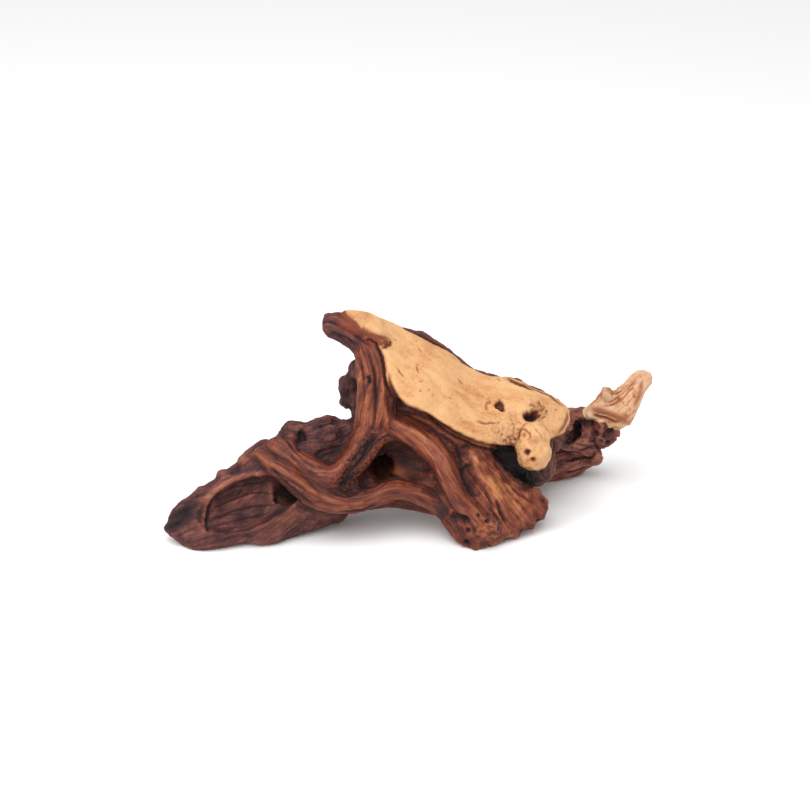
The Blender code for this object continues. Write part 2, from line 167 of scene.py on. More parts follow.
def eased(values, rounds):
    """Each point's value moved halfway to the mean of its neighbours, so many times over."""
    columns = [np.array(column, float) for column in np.atleast_2d(values.T)]
    for index, column in enumerate(columns):
        for _ in range(rounds):
            around = np.bincount(ties[:, 0], column[ties[:, 1]], count)
            around += np.bincount(ties[:, 1], column[ties[:, 0]], count)
            column = (column + around / valence) / 2
        columns[index] = column
    return np.array(columns).T.reshape(values.shape)


def outward(points):
    """The direction straight out of the wood at each point of the skin."""
    skin_mesh.vertices.foreach_set("co", points.astype(np.float32).ravel())
    skin_mesh.update()
    normals = np.zeros(count * 3, np.float32)
    skin_mesh.vertex_normals.foreach_get("vector", normals)
    return normals.reshape(-1, 3).astype(float)


members = sorted(frame["nodes"])
corners, facets, owner = [], [], []
for number, name in enumerate(members):
    data = frame["nodes"][name].data
    start = len(corners)
    corners += [v.co.copy() for v in data.vertices]
    facets += [tuple(start + i for i in p.vertices) for p in data.polygons]
    owner += [number] * len(data.polygons)
wood = BVHTree.FromPolygons(corners, facets)
label = np.array([owner[wood.find_nearest(p)[2]] for p in skin.tolist()])


def belonging(names, rounds):
    """How much each point belongs to the named members, easing from 1 to 0 at their edge."""
    return eased(np.isin(label, [members.index(name) for name in names]).astype(float), rounds)


# The strands of the front and the horn melt into the body; the cap and the tips stay crisp.
MELTING = ("long_ridge", "strap_root", "forked_band", "heart_body", "front_foot", "stem", "horn")
MELT_ROUNDS = 45
MELT_REACH = 30
CRISP_ROUNDS = 5
melt = belonging(MELTING, MELT_REACH)[:, None]
skin = eased(skin, MELT_ROUNDS) * melt + eased(skin, CRISP_ROUNDS) * (1 - melt)
# The horn and the stem are one growth, so the step where they meet is smoothed right away.
BEND_ROUNDS = 160
BEND_REACH = 90
BEND_GAIN = 5
bend = belonging(("horn",), BEND_REACH) * belonging(("stem",), BEND_REACH)
bend = np.clip(BEND_GAIN * bend, 0, 1)[:, None]
skin = eased(skin, BEND_ROUNDS) * bend + skin * (1 - bend)
OUT_ROUNDS = 6
out = eased(outward(eased(skin, OUT_ROUNDS)), OUT_ROUNDS)
out /= np.linalg.norm(out, axis=1)[:, None]

# What the later sections gather at each point: how far the wood stands out, how light it is,
# the threads of its grain, and how much of each mark it has. A member's share of a point
# eases out over its neighbours.
SHARE_ROUNDS = 14
share = eased((label[:, None] == np.arange(len(members))).astype(float), SHARE_ROUNDS)
height = np.zeros(count)
# Among the marks, the hole mark is painted shade: it paints holes, cracks and shaded recesses
# nearly black.
marks = {name: np.zeros(count) for name in ("hole", "fringe", "ember", "plum")}
tone = np.zeros(count)
fibre = np.zeros(count)


SPINE_STEP = 4 * MM
SPINE_WINDOW = 8 * MM
SPINE_BLEND = 7 * MM


def spine_of(name):
    """The line that the grain of a member follows: points, their run in metres and directions."""
    wood_points = np.array([v.co for v in frame["nodes"][name].data.vertices])
    middle = wood_points.mean(axis=0)
    axis = np.linalg.svd(wood_points - middle, full_matrices=False)[2][0]
    axis = axis * (1 if axis[0] >= 0 else -1)
    reach = (wood_points - middle) @ axis
    window = max(SPINE_WINDOW, (reach.max() - reach.min()) / 10)
    spots = np.arange(reach.min(), reach.max() + SPINE_STEP / 2, SPINE_STEP)
    near = np.exp(-(((spots[:, None] - reach) / window) ** 2))
    line = near @ wood_points / near.sum(axis=1)[:, None]
    heading = np.gradient(line, axis=0)
    step = np.linalg.norm(heading, axis=1)
    run = np.cumsum(step) - step[0]
    return line, run, heading / step[:, None]


def grain_of(line, run, heading, points):
    """Each point's place by a grain line, which is how far along it and how far off it two
    ways, and the square of its gap to the line."""
    gap = ((points[:, None] - line) ** 2).sum(axis=2)
    near = np.exp(-(gap - gap.min(axis=1)[:, None]) / (2 * SPINE_BLEND**2))
    near /= near.sum(axis=1)[:, None]
    forward = near @ heading
    forward /= np.linalg.norm(forward, axis=1)[:, None]
    up = np.array((0, 0, 1.0)) if abs(heading[:, 2]).mean() < 0.8 else np.array((0, 1.0, 0))
    side = np.cross(forward, up)
    side /= np.linalg.norm(side, axis=1)[:, None]
    over = np.cross(side, forward)
    off = points - near @ line
    ahead = near @ run + (off * forward).sum(axis=1)
    place = np.stack((ahead, (off * side).sum(axis=1), (off * over).sum(axis=1)), axis=1)
    return place, gap.min(axis=1)


def curve(points, rounds=2):
    """The same line with its corners cut so many times over, which rounds its bends."""
    points = np.array(points, float)
    for _ in range(rounds):
        quarter = points[:-1] * 0.75 + points[1:] * 0.25
        three = points[:-1] * 0.25 + points[1:] * 0.75
        points = np.concatenate(
            (points[:1], np.stack((quarter, three), axis=1).reshape(-1, 3), points[-1:])
        )
    return points


def spine_through(*spots):
    """A grain line through given points: the points, their run in metres and directions."""
    line = curve(spots, 3)
    heading = np.gradient(line, axis=0)
    step = np.linalg.norm(heading, axis=1)
    return line, np.cumsum(step) - step[0], heading / step[:, None]


# A member's grain follows its own length, but the wood between strands follows the strands,
# and the grain of the horn bends down into the stem.
LED_BY = {
    "horn": ("bent_grain",),
    "stem": ("bent_grain",),
    "heart_body": ("strap_root", "forked_band", "long_ridge", "stem"),
    "front_foot": ("long_ridge", "foot_fan"),
    "burl": ("burl", "forked_band"),
}
LEAD_BLEND = 5 * MM
reach_of = {name: np.nonzero(share[:, i] > 0.01)[0] for i, name in enumerate(members)}
spines = {name: spine_of(name) for name in members}
spines["bent_grain"] = spine_through(
    spot("horn", 0.06, 0.35, 0.85), spot("horn", 0.29, 0.30, 0.80), spot("horn", 0.56, 0.20, 0.68),
    spot("stem", 0.43, 0.50, 0.79), spot("stem", 0.53, 0.40, 0.60), spot("stem", 0.48, 0.25, 0.37),
    spot("stem", 0.40, 0.15, 0.05),
)
spines["foot_fan"] = spine_through(
    spot("front_foot", 0.37, 0.62, 0.95), spot("front_foot", 0.50, 0.45, 0.70),
    spot("front_foot", 0.66, 0.38, 0.42), spot("front_foot", 0.85, 0.35, 0.12),
)
fields = {}
for name in members:
    found = [grain_of(*spines[n], skin[reach_of[name]]) for n in LED_BY.get(name, (name,))]
    gaps = np.sqrt(np.array([gap for _, gap in found]))
    part = np.exp(-(gaps - gaps.min(axis=0)) / LEAD_BLEND)
    part /= part.sum(axis=0)
    fields[name] = [(place, weight) for (place, _), weight in zip(found, part)]

# ---------------------------------------------------------------------------------------------
# The sapwood cap and the round knob that hangs over its lower edge. Pale mopani sapwood,
# sandblasted smooth, with a burnt-orange line where it meets the dark heartwood. The holes
# are old branch hearts that have rotted out.
# ---------------------------------------------------------------------------------------------
CELL_MIX = (73856093, 19349663, 83492791)
SEED_MIX = 26544357
FIRST_MIX, SECOND_MIX = 739982445, 695872825
LOW_32_BITS = 0xFFFFFFFF
FULL_SWING = 1.7


def swirl(points, seed):
    """Smooth noise from about -1 to 1, with one knot in each unit of the points given. Each
    knot's slope comes from mixing its place and the seed, so it is the same on every run."""
    base = np.floor(points).astype(np.int64)
    part = points - base
    ease = part**3 * (part * (part * 6 - 15) + 10)
    total = np.zeros(len(points))
    for corner in np.ndindex(2, 2, 2):
        cell = (base + corner) % 65536
        mixed = cell * CELL_MIX
        mixed = mixed[:, 0] ^ mixed[:, 1] ^ mixed[:, 2]
        mixed = (mixed ^ (seed * SEED_MIX)) & LOW_32_BITS
        mixed = ((mixed ^ (mixed >> 15)) * FIRST_MIX) & LOW_32_BITS
        mixed = ((mixed ^ (mixed >> 12)) * SECOND_MIX) & LOW_32_BITS
        mixed ^= mixed >> 15
        slope = ((mixed[:, None] >> np.array([0, 10, 20])) & 1023) / 511.5 - 1
        weight = np.where(np.array(corner), ease, 1 - ease).prod(axis=1)
        total += weight * ((part - corner) * slope).sum(axis=1)
    return total * FULL_SWING


WANDER_LENGTH = 24 * MM
WANDER = 0.7


def along_grain(name, across, along, seed):
    """Smooth noise from about -1 to 1, drawn out along a member's grain, over its reach. Its
    threads wander sideways a little, as real grain does."""
    total = 0
    for number, (place, weight) in enumerate(fields[name]):
        drift = swirl(place / WANDER_LENGTH + 7, seed + 100) * across * WANDER
        sway = swirl(place / WANDER_LENGTH + 19, seed + 200) * across * WANDER
        knots = np.stack(
            (place[:, 0] / along, (place[:, 1] + drift) / across, (place[:, 2] + sway) / across),
            axis=1,
        )
        total = total + weight * swirl(knots, seed + 7 * number)
    return total


def swells(name, across, along, rise, seed):
    """Soft swelling and sinking of the wood, without an edge to it."""
    at = reach_of[name]
    height[at] += rise * share[at, members.index(name)] * along_grain(name, across, along, seed)


def gnarl(name, size, rise, seed=0):
    """Knobbly growth that follows no grain, with knobs so far apart and so high."""
    at = reach_of[name]
    seed = seed or members.index(name) + 400
    height[at] += rise * share[at, members.index(name)] * swirl(skin[at] / size, seed)


def patches(name, across, along, lift, seed=0):
    """Lighter and darker patches that run with the grain."""
    at = reach_of[name]
    seed = seed or members.index(name) + 500
    tone[at] += lift * share[at, members.index(name)] * along_grain(name, across, along, seed)


finder = KDTree(count)
for index, point in enumerate(skin.tolist()):
    finder.insert(point, index)
finder.balance()
RAGGED_SIZE = 2.4 * MM
ragged_edge = 1 + 0.6 * swirl(skin / RAGGED_SIZE, 5)
LINE_FADE = 0.22


def nearness(points, width):
    """The skin near a line through the points, and how near it is, from 0 far off to 1 on it.
    A line fades out towards its two ends, and its edges are a little ragged."""
    points = np.array(points)
    low, high = points.min(axis=0) - 3 * width, points.max(axis=0) + 3 * width
    close = np.nonzero(((skin > low) & (skin < high)).all(axis=1))[0]
    best = np.full(len(close), np.inf)
    place = np.zeros(len(close))
    spans = np.linalg.norm(np.diff(points, axis=0), axis=1)
    run = np.concatenate(([0], np.cumsum(spans)))
    for number, (first, last) in enumerate(zip(points, points[1:] if len(points) > 1 else points)):
        way = last - first
        t = np.clip((skin[close] - first) @ way / max(float(way @ way), 1e-12), 0, 1)
        gap = ((skin[close] - first - t[:, None] * way) ** 2).sum(axis=1)
        if len(spans):
            place = np.where(gap < best, run[number] + t * spans[number], place)
        best = np.minimum(best, gap)
    near = np.exp(-best * ragged_edge[close] / width**2)
    if run[-1] > 3 * width:
        to_end = np.minimum(place, run[-1] - place)
        near *= np.sqrt(np.clip(to_end / (LINE_FADE * run[-1]), 0.02, 1))
    return close, near


def path_on(name, places):
    """One spot in a member, or a rounded line laid on the skin through several, with each
    place given as fractions of the member's box."""
    path = [spot(name, *place) for place in places]
    return path if len(path) == 1 else [skin[finder.find(p)[1]] for p in curve(path)]


def tint(name, width, *places, lift=0, **colours):
    """Lightens or darkens the wood along a path on a member, so many millimetres to either
    side, and brings out the named marks."""
    close, near = nearness(path_on(name, places), width * MM)
    tone[close] += lift * near
    for mark, amount in colours.items():
        marks[mark][close] = np.maximum(marks[mark][close], amount * near)


def sculpt(name, width, rise, *places, **colours):
    """Raises a ridge along a path on a member, or sinks a groove or pit if rise is below 0,
    with its width and rise in millimetres, and tints it."""
    close, near = nearness(path_on(name, places), width * MM)
    height[close] += rise * MM * near
    tint(name, width, *places, **colours)


pieces = {}


def piece_of(name, material):
    """The visible piece that stands for a member; its mesh is cut from the skin at the end."""
    piece = bpy.data.objects.new(name + "_skin", bpy.data.meshes.new(name + "_skin"))
    bpy.context.scene.collection.objects.link(piece)
    piece.data.materials.append(material)
    pieces[name] = piece
    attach(piece, "root")
    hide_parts(name)


def linear(colour):
    """An sRGB hex colour as the linear values that a socket takes."""
    parts = [int(colour[i : i + 2], 16) / 255 for i in (1, 3, 5)]
    return [p / 12.92 if p <= 0.04045 else ((p + 0.055) / 1.055) ** 2.4 for p in parts] + [1.0]


def node(tree, kind, inputs=None, stops=(), **settings):
    """One node with its settings, its links or values by socket, and its colour stops."""
    made = tree.nodes.new("ShaderNode" + kind)
    for key, value in settings.items():
        setattr(made, key, value)
    for socket, value in (inputs or {}).items():
        if isinstance(value, bpy.types.NodeSocket):
            tree.links.new(value, made.inputs[socket])
        else:
            made.inputs[socket].default_value = value
    while stops and len(made.color_ramp.elements) < len(stops):
        made.color_ramp.elements.new(0.5)
    for element, (place, colour) in zip(made.color_ramp.elements if stops else (), stops):
        element.position = place
        element.color = linear(colour)
    return made


def blasted_sapwood(name, stops, fringe_shade):
    """Sandblasted mopani sapwood: a close, matt, cream-tan surface with a faint soft grain 6 mm
    wide, clouds 22 mm across, dark specks and dents 1.4 mm apart from the grit, and burnt
    brown where heartwood shows through or a hole begins. Holes and the wall under its edge get
    painted shade, nearly black, and the relief attribute holds painted highlight and shade too.
    Its pores are too fine to show."""
    material = bpy.data.materials.new(name)
    material.use_nodes = True
    tree = material.node_tree
    shader = tree.nodes["Principled BSDF"]
    grain = node(tree, "Attribute", attribute_name="grain").outputs["Vector"]
    place = node(tree, "TexCoord").outputs["Object"]
    relief = node(tree, "Attribute", attribute_name="relief").outputs["Fac"]
    hole = node(tree, "Attribute", attribute_name="hole").outputs["Fac"]
    fringe = node(tree, "Attribute", attribute_name="fringe").outputs["Fac"]
    bands = node(tree, "Mapping", {"Vector": grain, "Scale": (22, 160, 160)})
    streaks = node(tree, "TexNoise", {"Vector": bands.outputs[0], "Scale": 1, "Detail": 4})
    clouds = node(tree, "TexNoise", {"Vector": place, "Scale": 45, "Detail": 3})
    grit = node(tree, "TexNoise", {"Vector": place, "Scale": 700, "Detail": 2})
    level = node(
        tree, "MapRange", {"Value": streaks.outputs[0], "From Min": 0.3, "From Max": 0.7,
                           "To Min": -0.09, "To Max": 0.09}
    )
    drift = node(
        tree, "MapRange", {"Value": clouds.outputs[0], "From Min": 0.3, "From Max": 0.7,
                           "To Min": -0.14, "To Max": 0.14}
    )
    level = node(tree, "Math", {0: relief, 1: level.outputs[0]}, operation="ADD")
    level = node(tree, "Math", {0: level.outputs[0], 1: drift.outputs[0]}, operation="ADD")
    specks = node(
        tree, "MapRange", {"Value": grit.outputs[0], "From Min": 0.58, "From Max": 0.72,
                           "To Min": 0, "To Max": -0.26}
    )
    level = node(tree, "Math", {0: level.outputs[0], 1: specks.outputs[0]}, operation="ADD")
    shades = node(tree, "ValToRGB", {0: level.outputs[0]}, stops=stops)
    edge_of_hole = node(tree, "Math", {0: hole, 1: 2.2}, operation="MULTIPLY", use_clamp=True)
    scorch = node(tree, "Math", {0: fringe, 1: edge_of_hole.outputs[0]}, operation="MAXIMUM")
    # Painted shade: holes and the wall under the edge are mixed toward near-black.
    shade_amount = node(tree, "MapRange", {"Value": hole, "From Min": 0.35, "From Max": 1.0})
    burnt = node(
        tree, "Mix",
        {"Factor": scorch.outputs[0], "A": shades.outputs[0], "B": linear(fringe_shade)},
        data_type="RGBA",
    )
    painted_shade_mix = node(
        tree, "Mix",
        {"Factor": shade_amount.outputs[0], "A": burnt.outputs["Result"], "B": linear("#1C0F0C")},
        data_type="RGBA",
    )
    tree.links.new(painted_shade_mix.outputs["Result"], shader.inputs["Base Color"])
    shader.inputs["Roughness"].default_value = 0.72
    shader.inputs["IOR"].default_value = 1.5
    shader.inputs["Specular IOR Level"].default_value = 0.3
    bump = node(tree, "Bump", {"Height": grit.outputs[0], "Strength": 0.25, "Distance": 0.3 * MM})
    dents = node(
        tree, "Bump", {"Height": streaks.outputs[0], "Strength": 0.3, "Distance": 0.8 * MM,
                       "Normal": bump.outputs[0]}
    )
    tree.links.new(dents.outputs[0], shader.inputs["Normal"])
    return material


sapwood = blasted_sapwood(
    "blasted_mopani_sapwood",
    ((0.0, "#8A4A26"), (0.25, "#BC7E4C"), (0.5, "#D6A270"), (0.8, "#DEB07E")),
    "#743A20",
)
CAP, KNOB = "sapwood_cap", "sapwood_knob"
piece_of(CAP, sapwood)
piece_of(KNOB, sapwood)
swells(CAP, 22 * MM, 34 * MM, 1.4 * MM, 11)
swells(CAP, 8 * MM, 14 * MM, 0.8 * MM, 12)
gnarl(CAP, 3.2 * MM, 0.22 * MM)
patches(CAP, 16 * MM, 26 * MM, 0.10)
patches(CAP, 2.2 * MM, 5 * MM, 0.05, 16)
gnarl(KNOB, 8 * MM, 1.0 * MM)
gnarl(KNOB, 3.6 * MM, 0.4 * MM, 17)
patches(KNOB, 4 * MM, 6 * MM, 0.16)

# The burnt line along the sapwood's edge is 2 to 4 mm wide and ragged. The wall of the plate
# below it is heartwood, darkened as painted shade, with a groove where the plate meets the
# stump that is painted dark as shade. Tilt is 1 where the skin faces as the plate does, and
# edge eases from 1 on the sapwood to 0 off it.
RIM_TILT, WALL_TILT = 0.62, 0.30
SCORCHED_EDGE, UNDER_EDGE, GROOVE_EDGE = 0.92, 0.72, 0.10
GROOVE_DEPTH, WALL_DEPTH, COLLAR_DEPTH = 0.9 * MM, 0.5 * MM, 1.0 * MM
HORN_REACH = 110
RED_BY_HORN = 0.14


def fades(value, start, span):
    """1 where the value is a whole span below the start, easing to 0 where it reaches it."""
    return np.clip((start - value) / span, 0, 1)


def brings_out(mark, amount):
    """Raises a mark over the whole skin to at least the amount at each point."""
    marks[mark] = np.maximum(marks[mark], amount)


plate = np.array([v.co for v in frame["nodes"][CAP].data.vertices])
plate_face = np.linalg.svd(plate - plate.mean(axis=0), full_matrices=False)[2][2]
plate_face = plate_face * (1 if plate_face[2] > 0 else -1)
on_cap = label == members.index(CAP)
on_knob = label == members.index(KNOB)
on_sapwood = on_cap | on_knob
at_cap = eased(on_cap.astype(float), 3) > 0.02
ragged = 0.16 * swirl(skin / (5 * MM), 31) + 0.14 * swirl(skin / (13 * MM), 32)
tilt = eased(out, 4) @ plate_face + ragged
edge = eased(on_sapwood.astype(float), 30) + ragged / 2
front_of_cap = at_cap * np.clip(0.9 - out[:, 1] * 2.0, 0, 1)
by_horn = belonging(("horn",), HORN_REACH)

rim = eased(fades(tilt, RIM_TILT, 0.30) * front_of_cap, 3)
shaded_wall = eased(fades(tilt, WALL_TILT, 0.25) * front_of_cap, 3)
shaded_wall = np.maximum(shaded_wall, fades(edge, UNDER_EDGE, 0.12) * front_of_cap)
shaded_wall *= 1 - np.clip(4 * by_horn, 0, 1)
scorched = fades(edge, SCORCHED_EDGE, 0.25) * front_of_cap
shaded_groove = np.where(on_sapwood, 0, np.clip((edge - GROOVE_EDGE) / 0.22, 0, 1))
shaded_groove *= 1 - 0.75 * np.clip(4 * by_horn, 0, 1)
red_by_horn = np.clip((by_horn + ragged / 4 - RED_BY_HORN) / 0.08, 0, 1) * at_cap
# The groove and the wall under the plate's edge are painted dark here as shade.
brings_out("hole", np.maximum(shaded_groove * 0.55, shaded_wall * 0.8))
brings_out("fringe", np.clip(rim * 1.1, 0, 1))
brings_out("fringe", red_by_horn)
brings_out("fringe", np.maximum(shaded_wall, 0.8 * scorched))
height -= GROOVE_DEPTH * shaded_groove + WALL_DEPTH * shaded_wall
# The knob grows out of the cap through a shallow collar.
collar = fades(abs(eased(on_knob.astype(float), 12) - 0.5), 0.35, 0.35)
collar = np.where(on_sapwood, collar, 0) * eased(on_cap.astype(float), 12) * 2
height -= COLLAR_DEPTH * collar
brings_out("fringe", np.clip(collar, 0, 1) * 0.45)


def slit(name, first, last, width=1.1, depth=1.0, **colours):
    """A short slit that the blasting has opened in the surface."""
    sculpt(name, width, -depth, first, last, **colours)


# The three-cornered hole, painted dark inside as shade, with a ring of shallow dents to its left.
three_corners = ((0.662, 0.445, 0.290), (0.690, 0.535, 0.310), (0.698, 0.395, 0.255))
for first, last in zip(three_corners, three_corners[1:] + three_corners[:1]):
    sculpt(CAP, 1.5, -2.4, first, last, fringe=1.0, hole=0.8)
sculpt(CAP, 2.2, -3.0, (0.681, 0.450, 0.284), hole=0.9)
sculpt(
    CAP, 1.4, -0.9, (0.645, 0.495, 0.315), (0.622, 0.430, 0.309), (0.626, 0.341, 0.275),
    fringe=0.5,
)
# The big rotted branch heart: a deep hole, painted nearly black inside as shade, in a raised,
# scorched ring with wild ridges.
sculpt(CAP, 9.0, 2.4, (0.860, 0.50, 0.220), fringe=0.25)
sculpt(CAP, 6.0, -3.4, (0.852, 0.50, 0.220), fringe=0.55)
sculpt(CAP, 3.4, -6, (0.806, 0.40, 0.21), (0.826, 0.42, 0.205), (0.842, 0.47, 0.215), hole=1.3)
RIDGES_ROUND = 2.6
RIDGE_HEIGHT = 2.4 * MM
heart = spot(CAP, 0.852, 0.50, 0.220)
close, near = nearness([heart], 8 * MM)
away = skin[close] - heart
reach = np.linalg.norm(away, axis=1)[:, None]
around = RIDGES_ROUND * away / np.maximum(reach, 0.1 * MM)
ripple = swirl(around + 0.35 * swirl(skin[close] / (3 * MM), 76)[:, None], 77)
ring = near * np.clip((reach[:, 0] - 2 * MM) / (3 * MM), 0, 1)
height[close] += RIDGE_HEIGHT * ring * ripple
scorch = ring * np.clip(0.5 - 2.2 * ripple, 0, 1)
marks["fringe"][close] = np.maximum(marks["fringe"][close], scorch)
for first, last in (
    ((0.815, 0.555, 0.265), (0.842, 0.555, 0.245)),
    ((0.852, 0.640, 0.268), (0.864, 0.560, 0.236)),
    ((0.878, 0.610, 0.240), (0.866, 0.510, 0.208)),
    ((0.824, 0.520, 0.248), (0.842, 0.480, 0.220)),
    ((0.868, 0.450, 0.190), (0.888, 0.470, 0.190)),
    ((0.893, 0.560, 0.214), (0.880, 0.520, 0.203)),
):
    slit(CAP, first, last, 1.0, 1.2, fringe=0.95, hole=0.3)
# Short slits and single dents of the blasting, over the whole plate.
for first, last in (
    ((0.240, 0.290, 0.655), (0.268, 0.230, 0.600)), ((0.323, 0.430, 0.640), (0.331, 0.330, 0.600)),
    ((0.503, 0.595, 0.480), (0.527, 0.565, 0.445)), ((0.328, 0.683, 0.718), (0.350, 0.655, 0.690)),
    ((0.730, 0.290, 0.190), (0.752, 0.275, 0.171)), ((0.674, 0.895, 0.398), (0.690, 0.820, 0.385)),
):
    slit(CAP, first, last, 0.9, 0.9, fringe=0.55)
for dot in (
    (0.340, 0.146, 0.506), (0.375, 0.207, 0.496), (0.42, 0.60, 0.58), (0.55, 0.30, 0.36),
    (0.30, 0.55, 0.75), (0.60, 0.70, 0.44), (0.46, 0.35, 0.44), (0.25, 0.70, 0.82),
    (0.53, 0.80, 0.52), (0.78, 0.60, 0.29), (0.36, 0.80, 0.74), (0.251, 0.266, 0.633),
    (0.340, 0.259, 0.558), (0.465, 0.265, 0.411), (0.734, 0.321, 0.203), (0.392, 0.177, 0.463),
    (0.229, 0.633, 0.800), (0.328, 0.457, 0.645),
):
    sculpt(CAP, 0.8, -0.7, dot, fringe=0.6)
sculpt(
    CAP, 1.1, -0.6, (0.575, 0.175, 0.235), (0.612, 0.190, 0.206), (0.640, 0.223, 0.208),
    (0.672, 0.239, 0.192), fringe=0.8,
)
# The dark patch and rim at the top right of the cap, where the heartwood shows.
sculpt(
    CAP, 2.4, -1.0, (0.715, 0.90, 0.392), (0.745, 0.89, 0.372), (0.776, 0.862, 0.353),
    (0.805, 0.85, 0.338), (0.835, 0.81, 0.318), fringe=1.2, hole=0.6,
)
tint(
    CAP, 1.6, (0.80, 0.90, 0.345), (0.84, 0.87, 0.32), (0.90, 0.82, 0.27), (0.94, 0.78, 0.23),
    (0.97, 0.74, 0.20), fringe=1.1,
)
tint(CAP, 2.0, (0.985, 0.70, 0.17), (0.975, 0.55, 0.11), (0.93, 0.40, 0.05), fringe=0.9)
for freckle in ((0.93, 0.62, 0.20), (0.955, 0.52, 0.15), (0.945, 0.44, 0.12), (0.915, 0.36, 0.09)):
    tint(CAP, 1.1, freckle, fringe=0.8)
# The red band of heartwood that runs off the horn into the cap and ends in a tongue.
sculpt(
    CAP, 3.2, 0.8, (-0.02, 0.72, 0.93), (0.05, 0.62, 0.905), (0.110, 0.560, 0.865),
    (0.165, 0.520, 0.848), (0.215, 0.570, 0.822), fringe=1.3,
)
tint(CAP, 3.6, (0.190, 0.50, 0.812), fringe=1.5)
tint(CAP, 3.0, (0.110, 0.53, 0.855), (0.150, 0.49, 0.830), (0.185, 0.47, 0.800), fringe=1.4)
sculpt(
    CAP, 1.6, -1.2, (0.212, 0.575, 0.822), (0.214, 0.535, 0.806), (0.196, 0.480, 0.792),
    (0.170, 0.430, 0.782), fringe=1.2, hole=0.6,
)
tint("horn", 3.0, (0.35, 0.50, 0.95), (0.60, 0.45, 0.84), (0.85, 0.40, 0.70), fringe=0.8)
# Two holes in the knob, painted dark inside as shade.
for hole, size, black in (((0.298, 0.065, 0.588), 2.3, 1.1), ((0.462, 0.006, 0.419), 2.0, 0.7)):
    sculpt(KNOB, size, -2.4, hole, hole=black, fringe=1.0)
KNOB_CRATER = (
    (0.130, 0.527, 0.680), (0.103, 0.599, 0.796), (0.215, 0.700, 0.875), (0.338, 0.472, 0.923),
    (0.412, 0.315, 0.869), (0.275, 0.242, 0.779),
)
sculpt(KNOB, 3.2, -1.6, (0.24, 0.45, 0.84), fringe=0.45)
sculpt(KNOB, 1.0, -0.9, *KNOB_CRATER, fringe=0.75)
sculpt(
    KNOB, 1.0, -0.8, (0.503, 0.531, 0.971), (0.657, 0.355, 0.900), (0.764, 0.248, 0.752),
    fringe=0.4,
)
sculpt(KNOB, 3.0, 1.2, (0.788, 0.107, 0.570))
tint(KNOB, 3.0, (0.30, 0.20, 0.90), (0.50, 0.12, 0.86), (0.66, 0.14, 0.80), fringe=0.4)
tint(
    KNOB, 2.6, (0.10, 0.20, 0.20), (0.35, 0.10, 0.05), (0.65, 0.12, 0.04), (0.90, 0.3, 0.2),
    fringe=0.7,
)
tint(CAP, 9, (0.06, 0.70, 0.93), fringe=0.35)

# ---------------------------------------------------------------------------------------------
# The raised strands: the long ridge, the strap over the left root, the forked band and the
# knot at the foot. Smooth, hard, red-brown heartwood, rubbed to orange along the crests.
# ---------------------------------------------------------------------------------------------
KEEN = 0.3
USUAL_CUT = 0.4


def furrows(name, across, along, depth, seed):
    """Grooves that weather has opened along the grain, so far apart and so deep, in metres.
    The wood between them rises a little, so that the member keeps its size."""
    at = reach_of[name]
    cut = np.exp(-((along_grain(name, across, along, seed) / KEEN) ** 2))
    height[at] -= depth * share[at, members.index(name)] * (cut - USUAL_CUT)


def fibres(name, across, along, seed):
    """The fine light and dark threads of the grain, kept as a tone and not as a shape."""
    at = reach_of[name]
    fibre[at] += share[at, members.index(name)] * along_grain(name, across, along, seed)


def weather(name, spacing, depth, seed=0):
    """A member's whole weathering: broad furrows, the finer ones between, and the threads."""
    seed = seed or members.index(name) * 10 + 30
    furrows(name, spacing, spacing * 9, depth, seed)
    furrows(name, spacing * 0.45, spacing * 5, depth * 0.4, seed + 1)
    fibres(name, 2.6 * MM, 45 * MM, seed + 2)
    fibres(name, 1.6 * MM, 24 * MM, seed + 3)
    gnarl(name, 9 * MM, 0.9 * depth)
    gnarl(name, 2.6 * MM, 0.28 * depth, seed + 4)
    patches(name, 6 * MM, 36 * MM, 0.10)
    patches(name, 14 * MM, 30 * MM, 0.07, seed + 5)


def shade(name, lift, plum=0):
    """The tone of a whole member, lighter above 0 and darker below, and how plum it is."""
    at = reach_of[name]
    part = share[at, members.index(name)]
    tone[at] += lift * part
    marks["plum"][at] = np.maximum(marks["plum"][at], plum * part)
